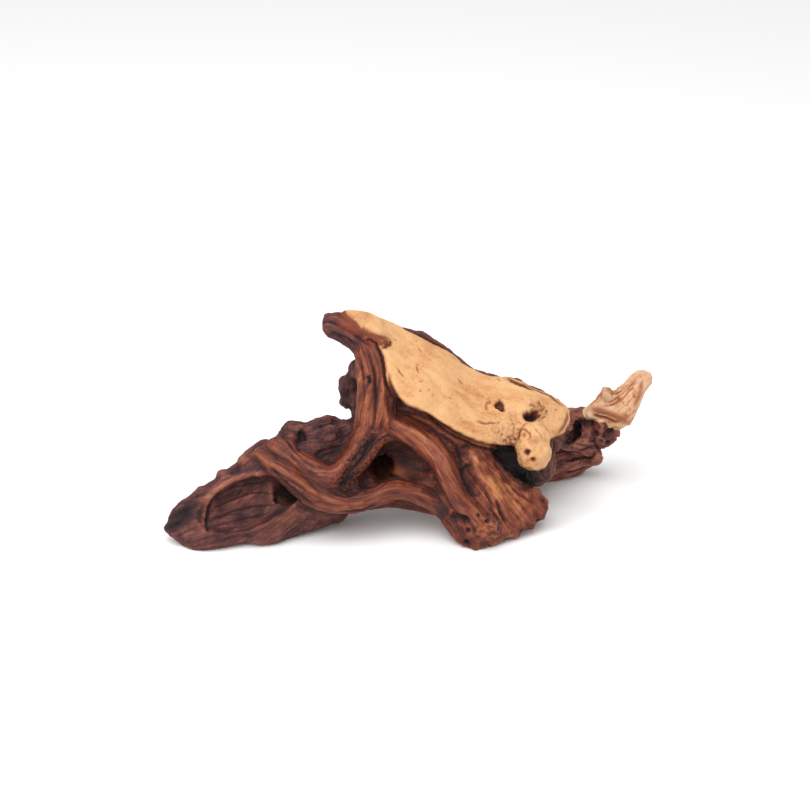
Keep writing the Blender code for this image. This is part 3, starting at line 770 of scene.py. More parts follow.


# Plum is smoky purple, ember is the orange of freshly rubbed wood, fringe is the red-brown by a
# burnt edge, and the hole mark is painted shade, nearly black, in holes, cracks and recesses.
def weathered_heartwood(name, stops, roughness=0.55, streak=0.12):
    """Sandblasted mopani heartwood. Its hard late wood stands proud, rubbed to a soft orange
    sheen, and the soft wood between is eaten back to dull purple-brown. The relief attribute
    that picks the shades also holds painted highlight on crests and painted shade in hollows,
    and holes, cracks and shaded recesses get painted shade, nearly black. Streaks run with the
    grain about 5 mm apart. The real vessels are 0.1 to 0.2 mm wide, too fine to show, so
    the threads of the grain are drawn 1.1 mm apart."""
    material = bpy.data.materials.new(name)
    material.use_nodes = True
    tree = material.node_tree
    shader = tree.nodes["Principled BSDF"]
    grain = node(tree, "Attribute", attribute_name="grain").outputs["Vector"]
    relief = node(tree, "Attribute", attribute_name="relief").outputs["Fac"]
    hole = node(tree, "Attribute", attribute_name="hole").outputs["Fac"]
    ember = node(tree, "Attribute", attribute_name="ember").outputs["Fac"]
    plum = node(tree, "Attribute", attribute_name="plum").outputs["Fac"]
    fringe = node(tree, "Attribute", attribute_name="fringe").outputs["Fac"]
    threads = node(tree, "Mapping", {"Vector": grain, "Scale": (60, 900, 900)})
    fibre = node(tree, "TexNoise", {"Vector": threads.outputs[0], "Scale": 1, "Detail": 5})
    bands = node(tree, "Mapping", {"Vector": grain, "Scale": (18, 190, 190)})
    streaks = node(tree, "TexNoise", {"Vector": bands.outputs[0], "Scale": 1, "Detail": 4})
    lift = node(
        tree, "MapRange", {"Value": streaks.outputs[0], "From Min": 0.3, "From Max": 0.7,
                           "To Min": -streak, "To Max": streak}
    )
    fine = node(
        tree, "MapRange", {"Value": fibre.outputs[0], "From Min": 0.3, "From Max": 0.7,
                           "To Min": -streak * 0.95, "To Max": streak * 0.95}
    )
    level = node(tree, "Math", {0: relief, 1: lift.outputs[0]}, operation="ADD")
    level = node(tree, "Math", {0: level.outputs[0], 1: fine.outputs[0]}, operation="ADD")
    shades = node(tree, "ValToRGB", {0: level.outputs[0]}, stops=stops)
    smoke = node(
        tree, "Mix", {"Factor": plum, "A": shades.outputs[0], "B": linear("#C8B4D2")},
        data_type="RGBA", blend_type="MULTIPLY",
    )
    warm = node(
        tree, "Mix", {"Factor": ember, "A": smoke.outputs["Result"], "B": linear("#98542B")},
        data_type="RGBA",
    )
    warm = node(
        tree, "Mix", {"Factor": fringe, "A": warm.outputs["Result"], "B": linear("#7E3A26")},
        data_type="RGBA",
    )
    # Painted shade: holes, cracks and shaded recesses are mixed toward near-black.
    painted_shade_mix = node(
        tree, "Mix", {"Factor": hole, "A": warm.outputs["Result"], "B": linear("#1B0E0C")},
        data_type="RGBA",
    )
    tree.links.new(painted_shade_mix.outputs["Result"], shader.inputs["Base Color"])
    shader.inputs["IOR"].default_value = 1.5
    shader.inputs["Specular IOR Level"].default_value = 0.32
    shine = node(
        tree, "MapRange", {"Value": level.outputs[0], "From Min": 0.2, "From Max": 0.9,
                           "To Min": roughness + 0.22, "To Max": roughness}
    )
    tree.links.new(shine.outputs[0], shader.inputs["Roughness"])
    rub = node(tree, "Math", {0: streaks.outputs[0], 1: fibre.outputs[0]}, operation="ADD")
    bump = node(tree, "Bump", {"Height": rub.outputs[0], "Strength": 0.5, "Distance": 0.6 * MM})
    tree.links.new(bump.outputs[0], shader.inputs["Normal"])
    return material


RED_HEART = (
    (0.0, "#0D0605"), (0.2, "#25100C"), (0.4, "#471C13"), (0.6, "#6E3220"), (0.8, "#925031"),
    (1.0, "#B87A4A"),
)
strand_wood = weathered_heartwood("rubbed_mopani_strand", RED_HEART, roughness=0.42)
for name in ("long_ridge", "strap_root", "forked_band", "foot_knot"):
    piece_of(name, strand_wood)
    weather(name, 8 * MM, 0.6 * MM)
shade("long_ridge", 0.03)
shade("strap_root", -0.01)
shade("forked_band", 0.04)
shade("foot_knot", 0.02)
STRAP_CREST = (
    (0.021, 0.791, 0.993), (0.068, 0.537, 0.919), (0.133, 0.345, 0.824), (0.193, 0.199, 0.731),
    (0.256, 0.136, 0.609), (0.295, 0.075, 0.519), (0.354, 0.030, 0.423), (0.418, 0.037, 0.373),
    (0.496, 0.057, 0.350), (0.579, 0.176, 0.405), (0.643, 0.271, 0.468), (0.712, 0.371, 0.513),
    (0.771, 0.380, 0.462), (0.835, 0.348, 0.393), (0.919, 0.247, 0.252),
)
RIDGE_CREST = (
    (0.067, 0.649, 0.973), (0.192, 0.675, 0.901), (0.344, 0.600, 0.854), (0.415, 0.547, 0.810),
    (0.522, 0.420, 0.729), (0.620, 0.372, 0.662), (0.637, 0.226, 0.537), (0.673, 0.124, 0.406),
    (0.797, 0.084, 0.305), (0.923, 0.051, 0.170),
)
# The crests of the strap, the ridge and the stem are raised and painted lighter: partly the wood's
# own rubbed orange, partly painted highlight.
sculpt("strap_root", 2.6, 0.6, *STRAP_CREST, lift=0.05)
sculpt("long_ridge", 2.6, 0.8, *RIDGE_CREST, lift=0.05)
sculpt(
    "stem", 2.6, 1.3, (0.60, 0.45, 0.80), (0.642, 0.358, 0.720), (0.689, 0.247, 0.559),
    (0.689, 0.146, 0.419), (0.736, 0.072, 0.270), (0.80, 0.05, 0.12), lift=0.15,
)
sculpt(
    "stem", 1.5, -0.9, (0.480, 0.297, 0.666), (0.550, 0.169, 0.498), (0.527, 0.062, 0.324),
    (0.433, -0.012, 0.125), lift=-0.08,
)
sculpt(
    "stem", 3.4, 1.0, (0.316, 0.223, 0.517), (0.293, 0.124, 0.352), (0.268, 0.059, 0.175),
    (0.176, -0.066, 0.019), lift=0.10,
)
# Slots between the strands that make up the strap and the band.
for line in (
    ((0.10, 0.55, 0.78), (0.18, 0.30, 0.66), (0.26, 0.20, 0.52)),
    ((0.083, 0.403, 0.773), (0.183, 0.133, 0.595), (0.280, 0.042, 0.371)),
    ((0.42, 0.10, 0.26), (0.52, 0.14, 0.24), (0.60, 0.24, 0.30)),
):
    sculpt("strap_root", 1.5, -1.3, *line, lift=-0.2)
for line in (
    ((0.153, 0.549, 0.590), (0.281, 0.235, 0.405), (0.448, 0.054, 0.258)),
    ((0.130, 0.895, 0.637), (0.255, 0.396, 0.512), (0.406, 0.190, 0.372)),
):
    sculpt("forked_band", 1.6, -1.0, *line, lift=-0.12)
# The far flank of the band is already the dark wall of the almond hollow, and the near flank
# of the strap is in the shade of the trough; both are sunk and painted darker as shade.
sculpt(
    "forked_band", 3.4, -1.6, (0.929, 0.406, 0.812), (0.830, 0.290, 0.691), (0.747, 0.200, 0.561),
    (0.680, 0.110, 0.401), (0.640, 0.05, 0.240), (0.60, 0.149, 0.06), lift=-0.14, plum=0.3,
)
sculpt(
    "forked_band", 6.5, -5.0, (0.95, 0.42, 0.85), (0.865, 0.30, 0.60), (0.77, 0.15, 0.40),
    (0.68, 0.05, 0.20), (0.64, 0.05, 0.10), lift=-0.26, plum=0.4,
)
sculpt(
    "strap_root", 3.2, -1.0, (0.03, 0.55, 0.80), (0.085, 0.38, 0.70), (0.183, 0.12, 0.52),
    (0.26, 0.04, 0.36), (0.30, 0.05, 0.28), lift=-0.12,
)
tint("forked_band", 4, (0.20, 0.35, 0.47), (0.35, 0.15, 0.34), lift=0.12)
# The knot at the foot, pitted with small holes.
for hole in ((0.266, 0.173, 1.084), (-0.074, 0.272, 0.483), (0.524, 0.189, 0.854)):
    sculpt("foot_knot", 1.6, -2.4, hole, hole=1.1)
sculpt("foot_knot", 6, 1.6, (0.366, 0.038, 0.504), lift=0.12)
gnarl("foot_knot", 4 * MM, 1.2 * MM, 601)

# ---------------------------------------------------------------------------------------------
# The dark front of the stump and the burl. Red-brown heartwood with a hollow like an almond,
# grey-brown inside, whose floor has cracked and rotted to a hole, painted black as shade. The
# burl above it is a hard dark lump with a cleft, scooped out below.
# ---------------------------------------------------------------------------------------------
PLUM_HEART = (
    (0.0, "#0E0607"), (0.2, "#281313"), (0.4, "#432322"), (0.6, "#67382F"), (0.8, "#8E543E"),
    (1.0, "#B07855"),
)
heart_wood = weathered_heartwood("weathered_mopani_heartwood", RED_HEART)
plum_wood = weathered_heartwood("smoky_mopani_heartwood", PLUM_HEART, roughness=0.55)
BODY = "heart_body"
piece_of(BODY, heart_wood)
piece_of("burl", plum_wood)
weather(BODY, 10 * MM, 0.6 * MM)
shade(BODY, 0, plum=0.2)
weather("burl", 5 * MM, 1.0 * MM)
gnarl("burl", 11 * MM, 1.6 * MM, 611)
shade("burl", -0.07, plum=0.6)
tint(
    BODY, 13, (0.30, 0.2, 0.34), (0.40, 0.25, 0.50), (0.55, 0.25, 0.55), (0.64, 0.15, 0.55),
    lift=-0.17, plum=0.7,
)
# Cracks in the floor of the hollow, sunk and painted nearly black inside as shade.
for crack in (
    ((0.446, 0.589, 0.364), (0.434, 0.698, 0.426), (0.458, 0.310, 0.601), (0.50, 0.30, 0.60)),
    ((0.47, 0.45, 0.36), (0.52, 0.24, 0.36), (0.56, 0.14, 0.39)),
):
    sculpt(BODY, 1.2, -2.2, *crack, hole=1.0)
tint(BODY, 5, (0.485, 0.40, 0.40), (0.54, 0.238, 0.434), lift=0.06, ember=0.4)
# The dark purple crease to the right of the long ridge, from the cap to the foot.
sculpt(
    BODY, 1.5, -0.8, (0.540, 0.369, 0.938), (0.622, 0.351, 0.897), (0.730, 0.232, 0.806),
    (0.839, 0.181, 0.717), (0.866, 0.121, 0.611), (0.876, -0.008, 0.529), (0.897, -0.154, 0.424),
    (0.962, -0.304, 0.284), lift=-0.14, plum=0.5,
)
sculpt(
    BODY, 5, 1.5, (0.58, 0.37, 0.955), (0.70, 0.30, 0.86), (0.80, 0.24, 0.78), (0.90, 0.2, 0.7),
    lift=0.15,
)
tint(BODY, 8, (0.20, 0.10, 0.30), (0.28, 0.1, 0.33), (0.33, 0.1, 0.40), lift=-0.2)
# The burl's cleft, painted nearly black inside as shade.
slit("burl", (0.262, 0.368, 0.867), (0.300, 0.204, 0.706), 2.2, 3.2, hole=1.1)
slit("burl", (0.262, 0.368, 0.867), (0.240, 0.30, 0.60), 1.6, 1.6, hole=0.7)
sculpt(
    "burl", 6, -1.8, (0.20, 0.0, 0.62), (0.32, 0.02, 0.55), (0.50, 0.02, 0.52),
    (0.70, 0.05, 0.60), lift=0.10,
)
for rise in ((0.177, 0.240, 0.784), (0.40, 0.30, 0.80), (0.60, 0.30, 0.84), (0.82, 0.30, 0.88)):
    sculpt("burl", 5, 1.8, rise, lift=0.08)

# ---------------------------------------------------------------------------------------------
# The left root: a long root split open by weather, with a deep trough along it. Its floor is
# smooth brown wood with long cracks, its walls are smoky, and its tip is nearly black.
# ---------------------------------------------------------------------------------------------
LEFT = "left_root"
piece_of(LEFT, plum_wood)
weather(LEFT, 9 * MM, 0.6 * MM)
shade(LEFT, 0.01, plum=0.4)
gnarl(LEFT, 14 * MM, 1.3 * MM, 621)
TROUGH_RIM = (
    (0.232, 0.023, 0.205), (0.221, 0.209, 0.327), (0.250, 0.253, 0.554), (0.360, 0.362, 0.708),
    (0.510, 0.389, 0.794), (0.652, 0.239, 0.774),
)
sculpt(LEFT, 2.4, 1.6, *TROUGH_RIM, lift=0.10)
sculpt(
    LEFT, 1.5, -1.8, (0.246, 0.03, 0.24), (0.240, 0.235, 0.345), (0.262, 0.29, 0.50), hole=0.75,
)
for crack in (
    ((0.262, 0.221, 0.282), (0.382, 0.351, 0.337), (0.515, 0.389, 0.379), (0.640, 0.334, 0.409)),
    ((0.251, 0.276, 0.378), (0.381, 0.410, 0.456), (0.526, 0.446, 0.512), (0.620, 0.491, 0.437)),
    ((0.280, 0.169, 0.236), (0.436, 0.300, 0.276), (0.570, 0.307, 0.336)),
    ((0.30, 0.32, 0.56), (0.42, 0.42, 0.60), (0.55, 0.45, 0.62)),
):
    sculpt(LEFT, 0.8, -0.7, *crack, hole=0.4)
tint(LEFT, 8, (0.30, 0.24, 0.33), (0.42, 0.36, 0.42), (0.54, 0.40, 0.44), lift=0.10)
# The right end of the trough, under the strap, is sunk and painted nearly black as shadow.
sculpt(LEFT, 6, -1, (0.723, 0.376, 0.70), (0.716, 0.30, 0.62), (0.690, 0.30, 0.50), hole=1.0)
tint(LEFT, 8, (0.66, 0.53, 0.50), (0.70, 0.50, 0.42), (0.74, 0.40, 0.50), hole=1.2)
sculpt(LEFT, 2.4, -3.4, (0.606, 0.410, 0.418), hole=1.4)
tint(LEFT, 9, (0.02, 0.15, 0.25), (0.09, 0.20, 0.30), (0.14, 0.22, 0.40), lift=-0.30, plum=0.9)
tint(
    LEFT, 6, (0.258, 0.010, 0.174), (0.415, 0.068, 0.179), (0.548, 0.087, 0.206), lift=-0.12,
    plum=0.8,
)
tint(LEFT, 6, (0.40, 0.086, 0.10), (0.520, 0.085, 0.10), (0.66, 0.20, 0.14), lift=0.07)
tint(LEFT, 6, (0.452, 0.563, 0.877), lift=0.14, ember=0.3)
tint(LEFT, 4, (0.66, 0.05, 0.30), (0.74, 0.08, 0.33), lift=0.08, ember=0.2)

# ---------------------------------------------------------------------------------------------
# The upright wall in front of the cap, the horn that it ends in and the lump behind it. The
# grain runs out of the horn and bends down the wall in deep parallel furrows.
# ---------------------------------------------------------------------------------------------
for name, wood_kind in (("horn", plum_wood), ("stem", heart_wood), ("stem_knob", plum_wood)):
    piece_of(name, wood_kind)
weather("horn", 6 * MM, 0.75 * MM, 701)
weather("stem", 6 * MM, 0.60 * MM, 701)
weather("stem_knob", 6 * MM, 0.80 * MM)
gnarl("stem_knob", 8 * MM, 2.0 * MM, 631)
shade("stem_knob", -0.12, plum=0.5)
shade("horn", -0.06, plum=0.5)
shade("stem", 0.04)
for line in (
    ((0.290, 0.635, 0.962), (0.433, 0.398, 0.793), (0.527, 0.233, 0.601), (0.480, 0.081, 0.367)),
    ((0.150, 0.543, 0.832), (0.225, 0.346, 0.649), (0.233, 0.175, 0.434)),
):
    sculpt("stem", 1.4, -1.0, *line, lift=-0.08)
sculpt("stem", 1.8, -2.4, (0.386, 0.263, 0.603), (0.316, 0.349, 0.686), hole=1.0)
for line in (
    ((0.061, 0.309, 0.932), (0.288, 0.190, 0.885), (0.513, 0.145, 0.765), (0.711, -0.126, 0.648)),
    ((0.093, 0.114, 0.825), (0.319, 0.054, 0.743), (0.559, 0.010, 0.606)),
):
    sculpt("horn", 1.3, -1.3, *line, lift=-0.14)
sculpt(
    "horn", 2.2, 1.2, (0.10, 0.40, 0.99), (0.181, 0.354, 0.969), (0.407, 0.313, 0.898),
    (0.619, 0.157, 0.812), (0.800, 0.0, 0.735), lift=0.16,
)
for split in ((0.03, 0.30, 0.90), (0.03, 0.20, 0.70), (0.05, 0.40, 0.80)):
    sculpt("horn", 1.8, -3.0, split, hole=0.5)

# ---------------------------------------------------------------------------------------------
# The front foot: a buttress that fans out from under the ridge to the ground, with an oval
# dent at its top, a light ridge down its middle and a broken, jagged right edge.
# ---------------------------------------------------------------------------------------------
FOOT = "front_foot"
piece_of(FOOT, heart_wood)
weather(FOOT, 9 * MM, 0.4 * MM)
shade(FOOT, 0.10)
tint(FOOT, 13, (0.45, 0.40, 0.62), (0.60, 0.32, 0.42), (0.75, 0.36, 0.36), lift=0.16)
tint(FOOT, 8, (0.05, 0.2, 0.30), (0.12, 0.15, 0.22), (0.22, 0.06, 0.14), lift=-0.26)
sculpt(
    FOOT, 6, -3.0, (0.270, 0.450, 0.738), (0.312, 0.363, 0.656), (0.345, 0.30, 0.59), lift=-0.06,
)
sculpt(FOOT, 1.4, -1.0, (0.235, 0.45, 0.72), (0.255, 0.50, 0.80), (0.31, 0.52, 0.80), lift=-0.25)
sculpt(
    FOOT, 3.4, 1.4, (0.460, 0.45, 0.70), (0.504, 0.343, 0.593), (0.565, 0.283, 0.453), lift=0.16,
)
sculpt(FOOT, 2.0, -1.6, (0.52, 0.30, 0.48), (0.58, 0.20, 0.35), (0.627, 0.202, 0.226), lift=-0.25)
for line in (
    ((0.393, 0.622, 0.867), (0.568, 0.535, 0.667), (0.746, 0.498, 0.445), (0.879, 0.495, 0.327)),
    ((0.440, 0.55, 0.80), (0.613, 0.45, 0.56), (0.762, 0.40, 0.35), (0.86, 0.40, 0.18)),
):
    sculpt(FOOT, 1.5, -0.7, *line, lift=-0.07)
for nick in (
    (0.944, 0.609, 0.338), (0.981, 0.60, 0.23), (0.908, 0.473, 0.132), (0.80, 0.365, 0.06),
    (0.269, 0.032, 0.08), (0.46, 0.08, 0.02), (0.62, 0.20, 0.02),
):
    sculpt(FOOT, 2.2, -3.4, nick, lift=-0.3)
for tooth in ((0.975, 0.65, 0.29), (0.96, 0.52, 0.17), (0.86, 0.42, 0.09), (0.35, 0.02, 0.04),
              (0.72, 0.29, 0.03)):
    sculpt(FOOT, 2.6, 2.2, tooth)
gnarl(FOOT, 7 * MM, 1.2 * MM, 661)
sculpt(
    FOOT, 3.0, 1.0, (0.306, 0.642, 0.895), (0.375, 0.549, 0.814), (0.357, 0.436, 0.720),
    lift=0.10,
)
sculpt(
    FOOT, 1.5, -1.2, (0.391, 0.363, 0.656), (0.477, 0.249, 0.491), (0.545, 0.120, 0.320),
    (0.527, 0.04, 0.215), lift=-0.12,
)
# The underside of the broken right edge, a pocket at the left and the bottom edge of the foot are
# painted dark as shade.
tint(
    FOOT, 4, (0.90, 0.58, 0.36), (0.97, 0.57, 0.24), (0.90, 0.45, 0.16), (0.70, 0.25, 0.08),
    lift=-0.22, plum=0.6,
)
sculpt(
    FOOT, 3.4, -3.0, (0.131, 0.204, 0.333), (0.217, 0.154, 0.325), (0.300, 0.05, 0.37), hole=0.85,
)
tint(FOOT, 4, (0.234, 0.053, 0.09), (0.347, 0.002, 0.05), (0.478, 0.037, 0.04), lift=-0.2)
# The cave behind the foot and under the knob, out of the light.
tint(
    "main_root", 15, (0.719, 0.065, 0.353), (0.693, 0.043, 0.305), (0.735, 0.038, 0.250),
    (0.778, 0.038, 0.185), (0.827, 0.053, 0.114), hole=1.3,
)

# ---------------------------------------------------------------------------------------------
# The right end: the broken log on the ground, the root that arches onto it round a dark
# hollow, and the pitted burr under the pale limb.
# ---------------------------------------------------------------------------------------------
for name in ("rear_log", "arch_root", "tip_burr"):
    piece_of(name, plum_wood)
    weather(name, 5 * MM, 1.0 * MM)
shade("arch_root", 0.24, plum=0.7)
shade("rear_log", 0.24, plum=0.7)
shade("tip_burr", 0.12, plum=0.7)
gnarl("tip_burr", 5 * MM, 1.8 * MM, 641)
for line in (
    ((0.715, 0.509, 0.279), (0.835, 0.570, 0.301), (0.954, 0.606, 0.322)),
    ((0.718, 0.500, 0.126), (0.879, 0.607, 0.151)),
    ((0.699, 0.35, 0.46), (0.823, 0.47, 0.45), (0.93, 0.55, 0.45)),
):
    sculpt("rear_log", 1.4, -1.6, *line, lift=-0.2)
# The hollow round which the root arches is sunk and painted nearly black as shade.
for line in (
    ((0.595, 0.50, 0.66), (0.540, 0.48, 0.55), (0.470, 0.475, 0.46)),
    ((0.457, 0.475, 0.508), (0.39, 0.30, 0.47), (0.324, 0.137, 0.45)),
):
    sculpt("arch_root", 4.5, -3, *line, hole=1.4)
tint("arch_root", 8, (0.35, 0.14, 0.50), hole=1.0)
for place in ((0.52, 0.47, 0.50), (0.42, 0.40, 0.50), (0.50, 0.45, 0.62), (0.36, 0.25, 0.52)):
    sculpt("arch_root", 5.0, -2.5, place, hole=1.2)
sculpt(
    "arch_root", 3.4, 2.4, (0.46, 0.489, 0.645), (0.595, 0.527, 0.751), (0.766, 0.478, 0.829),
    (0.922, 0.433, 0.798), (0.980, 0.419, 0.645), (0.955, 0.429, 0.425), (0.868, 0.560, 0.212),
    lift=0.12,
)
sculpt(
    "arch_root", 3.0, 1.6, (0.789, 0.60, 0.571), (0.749, 0.527, 0.445), (0.673, 0.419, 0.322),
    lift=0.12,
)
for pit in (
    (0.389, 0.052, 0.467), (0.622, 0.169, 0.610), (0.264, 0.076, 0.336), (0.54, 0.15, 0.22),
):
    sculpt("tip_burr", 1.8, -2.2, pit, hole=1.0)

# ---------------------------------------------------------------------------------------------
# The pale limb that rises to the right and the stub beside it. Bone-dry sapwood, bleached
# and finely cracked along its grain, with an orange ridge of heartwood.
# ---------------------------------------------------------------------------------------------
bleached = blasted_sapwood(
    "bleached_mopani_tip",
    ((0.0, "#75452C"), (0.3, "#B47E58"), (0.5, "#D0A27E"), (0.8, "#DCB898")),
    "#8E4A28",
)
TIP = "tip_limb"
for name in (TIP, "tip_spur"):
    piece_of(name, bleached)
    weather(name, 5 * MM, 0.35 * MM)
    gnarl(name, 5 * MM, 0.8 * MM, 651)
    patches(name, 4 * MM, 9 * MM, 0.14, 652)
# A deep notch parts the limb from its stub, and the limb ends broken off square.
for depth in (0.20, 0.45, 0.70, 0.95):
    sculpt(TIP, 3.2, -4.6, (0.42, depth, 0.66), fringe=0.3)
    sculpt(TIP, 4.0, -2.6, (0.52, depth, 0.78))
    sculpt(TIP, 3.6, 2.4, (0.30, depth, 0.62), fringe=0.35)
for line in (
    ((0.263, 0.218, 0.499), (0.476, 0.313, 0.553), (0.656, 0.486, 0.756), (0.802, 0.516, 0.934)),
    ((0.20, 0.15, 0.42), (0.45, 0.20, 0.46), (0.624, 0.319, 0.644), (0.742, 0.423, 0.824)),
    ((0.30, 0.30, 0.60), (0.50, 0.42, 0.66), (0.62, 0.52, 0.80)),
):
    sculpt(TIP, 0.8, -0.9, *line, fringe=0.6)
sculpt(
    TIP, 2.2, 1.6, (0.057, 0.296, 0.390), (0.202, 0.101, 0.395), (0.384, 0.062, 0.329),
    (0.568, 0.029, 0.244), (0.664, 0.053, 0.128), fringe=0.9,
)
sculpt(
    TIP, 1.3, -1.2, (0.085, 0.180, 0.300), (0.264, 0.045, 0.260), (0.479, 0.032, 0.160), hole=0.7,
)
for place in ((0.50, 0.25, 0.55), (0.60, 0.20, 0.62), (0.45, 0.15, 0.48), (0.68, 0.30, 0.80),
              (0.72, 0.15, 0.60), (0.80, 0.45, 0.92), (0.66, 0.10, 0.40)):
    sculpt(TIP, 1.1, -1.0, place, fringe=0.8)
tint(TIP, 4, (0.66, 0.45, 0.76), (0.76, 0.50, 0.88), (0.84, 0.433, 0.95), fringe=0.35)
tint(TIP, 2, (0.842, 0.371, 0.908), (0.797, 0.154, 0.697), (0.713, 0.046, 0.425), fringe=0.8)
tint(TIP, 3.5, (0.02, 0.50, 0.44), (0.14, 0.50, 0.52), (0.28, 0.50, 0.64), fringe=0.8)
tint("tip_spur", 3.5, (0.4, 0.4, 0.9), fringe=0.8)
tint(TIP, 7, (0.86, 0.40, 0.92), fringe=0.30)
for speck in ((0.70, 0.32, 0.72), (0.76, 0.30, 0.84), (0.83, 0.38, 0.96), (0.88, 0.36, 0.88),
              (0.79, 0.22, 0.78), (0.55, 0.16, 0.50), (0.62, 0.12, 0.46), (0.36, 0.14, 0.46)):
    sculpt(TIP, 0.9, -0.8, speck, fringe=0.9, hole=0.3)
tint(
    TIP, 1.8, (0.10, 0.30, 0.36), (0.24, 0.10, 0.34), (0.40, 0.06, 0.29), (0.55, 0.03, 0.21),
    fringe=1.0,
)

# ---------------------------------------------------------------------------------------------
# The back: the thick root under the cap, the dark rim along its back and a short worn root.
# Rougher and darker heartwood, which the blasting reached less.
# ---------------------------------------------------------------------------------------------
for name in ("main_root", "back_ridge", "back_root"):
    piece_of(name, plum_wood)
    weather(name, 9 * MM, 1.1 * MM)

# ---------------------------------------------------------------------------------------------
# The skin takes its relief, and is cut into the pieces along the lines of growth. Each piece
# is a closed shell, thick enough to hold its edge.
# ---------------------------------------------------------------------------------------------
SHELL = 1.6 * MM
FINE_RELIEF, FINE_ROUNDS = 0.30 * MM, 10
BROAD_RELIEF, BROAD_ROUNDS = 1.6 * MM, 90
MIDDLE_TONE, FINE_TONE, THREAD_TONE, HOLLOW_WEAR_AND_SHADE, CREST_RUB_AND_HIGHLIGHT = 0.5, 0.09, 0.06, 0.26, 0.15
SHADER_GRAIN = {"horn": "bent_grain", "stem": "bent_grain", "front_foot": "foot_fan"}
grown = skin + out * height[:, None]
grown[:, 2] = np.maximum(grown[:, 2], 0)
facing = outward(grown)


def stands_proud(rounds, relief):
    """How far the wood stands out of its own surroundings, in so many reliefs."""
    return ((grown - eased(grown, rounds)) * facing).sum(axis=1) / relief


# Crests are painted lighter and hollows darker over two sizes of relief: partly as the
# blasting leaves the wood, partly painted highlight on crests and painted shade in hollows.
broad = stands_proud(BROAD_ROUNDS, BROAD_RELIEF)
relief = MIDDLE_TONE + tone + FINE_TONE * np.tanh(stands_proud(FINE_ROUNDS, FINE_RELIEF))
relief = relief + THREAD_TONE * fibre
relief += np.where(broad < 0, HOLLOW_WEAR_AND_SHADE, CREST_RUB_AND_HIGHLIGHT) * np.tanh(broad)
for name, value in (("relief", relief), *marks.items()):
    layer = skin_mesh.attributes.new(name, "FLOAT", "POINT")
    layer.data.foreach_set("value", np.clip(value, 0, 1).astype(np.float32))
rest = skin_mesh.attributes.new("rest", "FLOAT_VECTOR", "POINT")
rest.data.foreach_set("vector", skin.astype(np.float32).ravel())

facet_corner = np.zeros(len(skin_mesh.polygons), np.int32)
skin_mesh.polygons.foreach_get("loop_start", facet_corner)
loop_point = np.zeros(len(skin_mesh.loops), np.int32)
skin_mesh.loops.foreach_get("vertex_index", loop_point)
skin_mesh.materials.clear()
for name in members:
    skin_mesh.materials.append(pieces[name].data.materials[0])
facet_member = label[loop_point[facet_corner]].astype(np.int32)
skin_mesh.polygons.foreach_set("material_index", facet_member)
skin_mesh.polygons.foreach_set("use_smooth", np.ones(len(facet_corner), bool))
skin_object = bpy.data.objects.new("skin", skin_mesh)
bpy.context.scene.collection.objects.link(skin_object)
bpy.context.view_layer.objects.active = skin_object
skin_object.select_set(True)
cut_number = skin_mesh.attributes.new("cut", "INT", "FACE")
cut_number.data.foreach_set("value", facet_member)
bpy.ops.object.mode_set(mode="EDIT")
bpy.ops.mesh.separate(type="MATERIAL")
bpy.ops.object.mode_set(mode="OBJECT")
for cut in [o for o in bpy.context.scene.objects if o.name.split(".")[0] == "skin"]:
    name = members[cut.data.attributes["cut"].data[0].value]
    data = cut.data
    bpy.data.objects.remove(cut)
    points = np.zeros(len(data.vertices) * 3, np.float32)
    data.attributes["rest"].data.foreach_get("vector", points)
    led_by = SHADER_GRAIN.get(name, name)
    place = grain_of(*spines[led_by], points.reshape(-1, 3).astype(float))[0]
    data.attributes["rest"].data.foreach_set("vector", place.astype(np.float32).ravel())
    data.attributes["rest"].name = "grain"
    data.attributes.remove(data.attributes["cut"])
    material = pieces[name].data.materials[0]
    data.materials.clear()
    data.materials.append(material)
    data.polygons.foreach_set("material_index", np.zeros(len(data.polygons), np.int32))
    data.name = name + "_skin"
    pieces[name].data = data
    shell = pieces[name].modifiers.new("shell", "SOLIDIFY")
    shell.thickness = SHELL
    shell.offset = -1

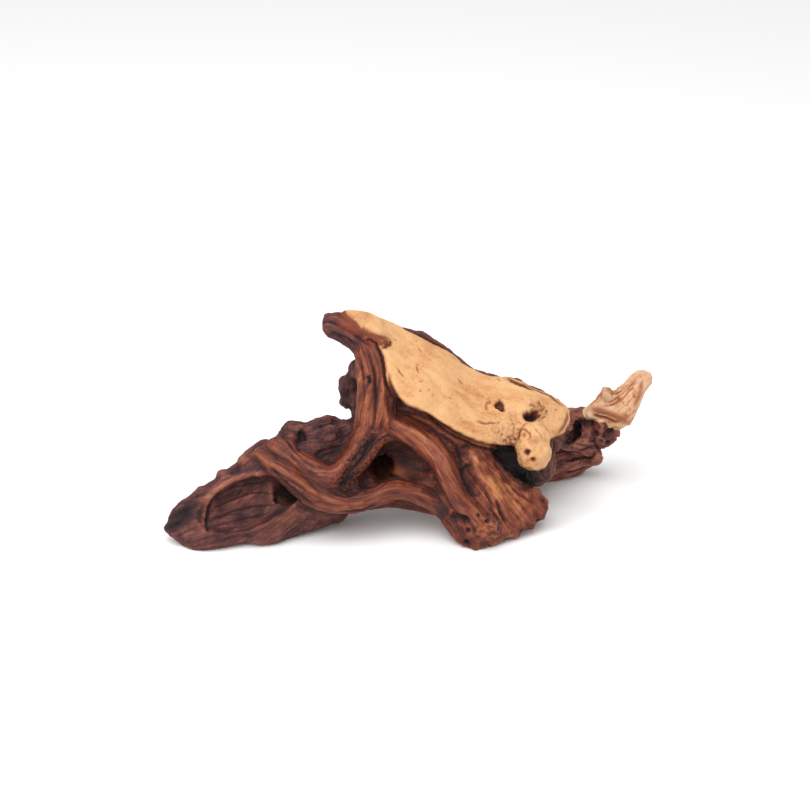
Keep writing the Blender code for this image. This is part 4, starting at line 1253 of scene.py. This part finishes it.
# ---------------------------------------------------------------------------------------------
# The studio: a plain near-white floor, a white room, a big softbox above and in front, a
# small one at the left, and the camera that looks down on the root from the front.
# ---------------------------------------------------------------------------------------------
FLOOR_HALF = 6.0
LAMP_AIM = Vector((0, 0, 0.08))
floor_mesh = bmesh.new()
bmesh.ops.create_grid(floor_mesh, x_segments=1, y_segments=1, size=FLOOR_HALF)
floor_data = bpy.data.meshes.new("studio_floor")
floor_mesh.to_mesh(floor_data)
floor_mesh.free()
floor = bpy.data.objects.new("studio_floor", floor_data)
bpy.context.scene.collection.objects.link(floor)
paper = bpy.data.materials.new("white_studio_paper")
paper.use_nodes = True
paper_shader = paper.node_tree.nodes["Principled BSDF"]
paper_shader.inputs["Base Color"].default_value = linear("#FAFAFA")
paper_shader.inputs["Roughness"].default_value = 0.95
floor_data.materials.append(paper)

world = bpy.data.worlds.new("white_room")
world.use_nodes = True
room = world.node_tree.nodes["Background"]
room.inputs["Color"].default_value = (1, 1, 1, 1)
room.inputs["Strength"].default_value = 0.74
bpy.context.scene.world = world
for name, place, size, watts in (
    ("softbox_above", (-0.3, -0.6, 1.9), 2.0, 32),
    ("softbox_left", (-1.6, -1.2, 0.9), 0.8, 9),
):
    lamp = bpy.data.lights.new(name, "AREA")
    lamp.size = size
    lamp.energy = watts
    light = bpy.data.objects.new(name, lamp)
    light.location = place
    light.rotation_euler = (LAMP_AIM - Vector(place)).to_track_quat("-Z", "Y").to_euler()
    bpy.context.scene.collection.objects.link(light)

CAMERA_RISE = math.radians(25)
CAMERA_DISTANCE = 1.8225
AIM_OFF_CENTRE = Vector((-0.0062, -0.0028, 0.0097))
low, high = cad_box
aim = (low + high) / 2 + AIM_OFF_CENTRE
back = Vector((0, -math.cos(CAMERA_RISE), math.sin(CAMERA_RISE)))
lens = bpy.data.cameras.new("camera")
lens.lens = 100
lens.sensor_width = 36
camera = bpy.data.objects.new("camera", lens)
camera.location = aim + back * CAMERA_DISTANCE
camera.rotation_euler = (-back).to_track_quat("-Z", "Y").to_euler()
bpy.context.scene.collection.objects.link(camera)
bpy.context.scene.camera = camera
bpy.context.scene.view_settings.view_transform = "Standard"
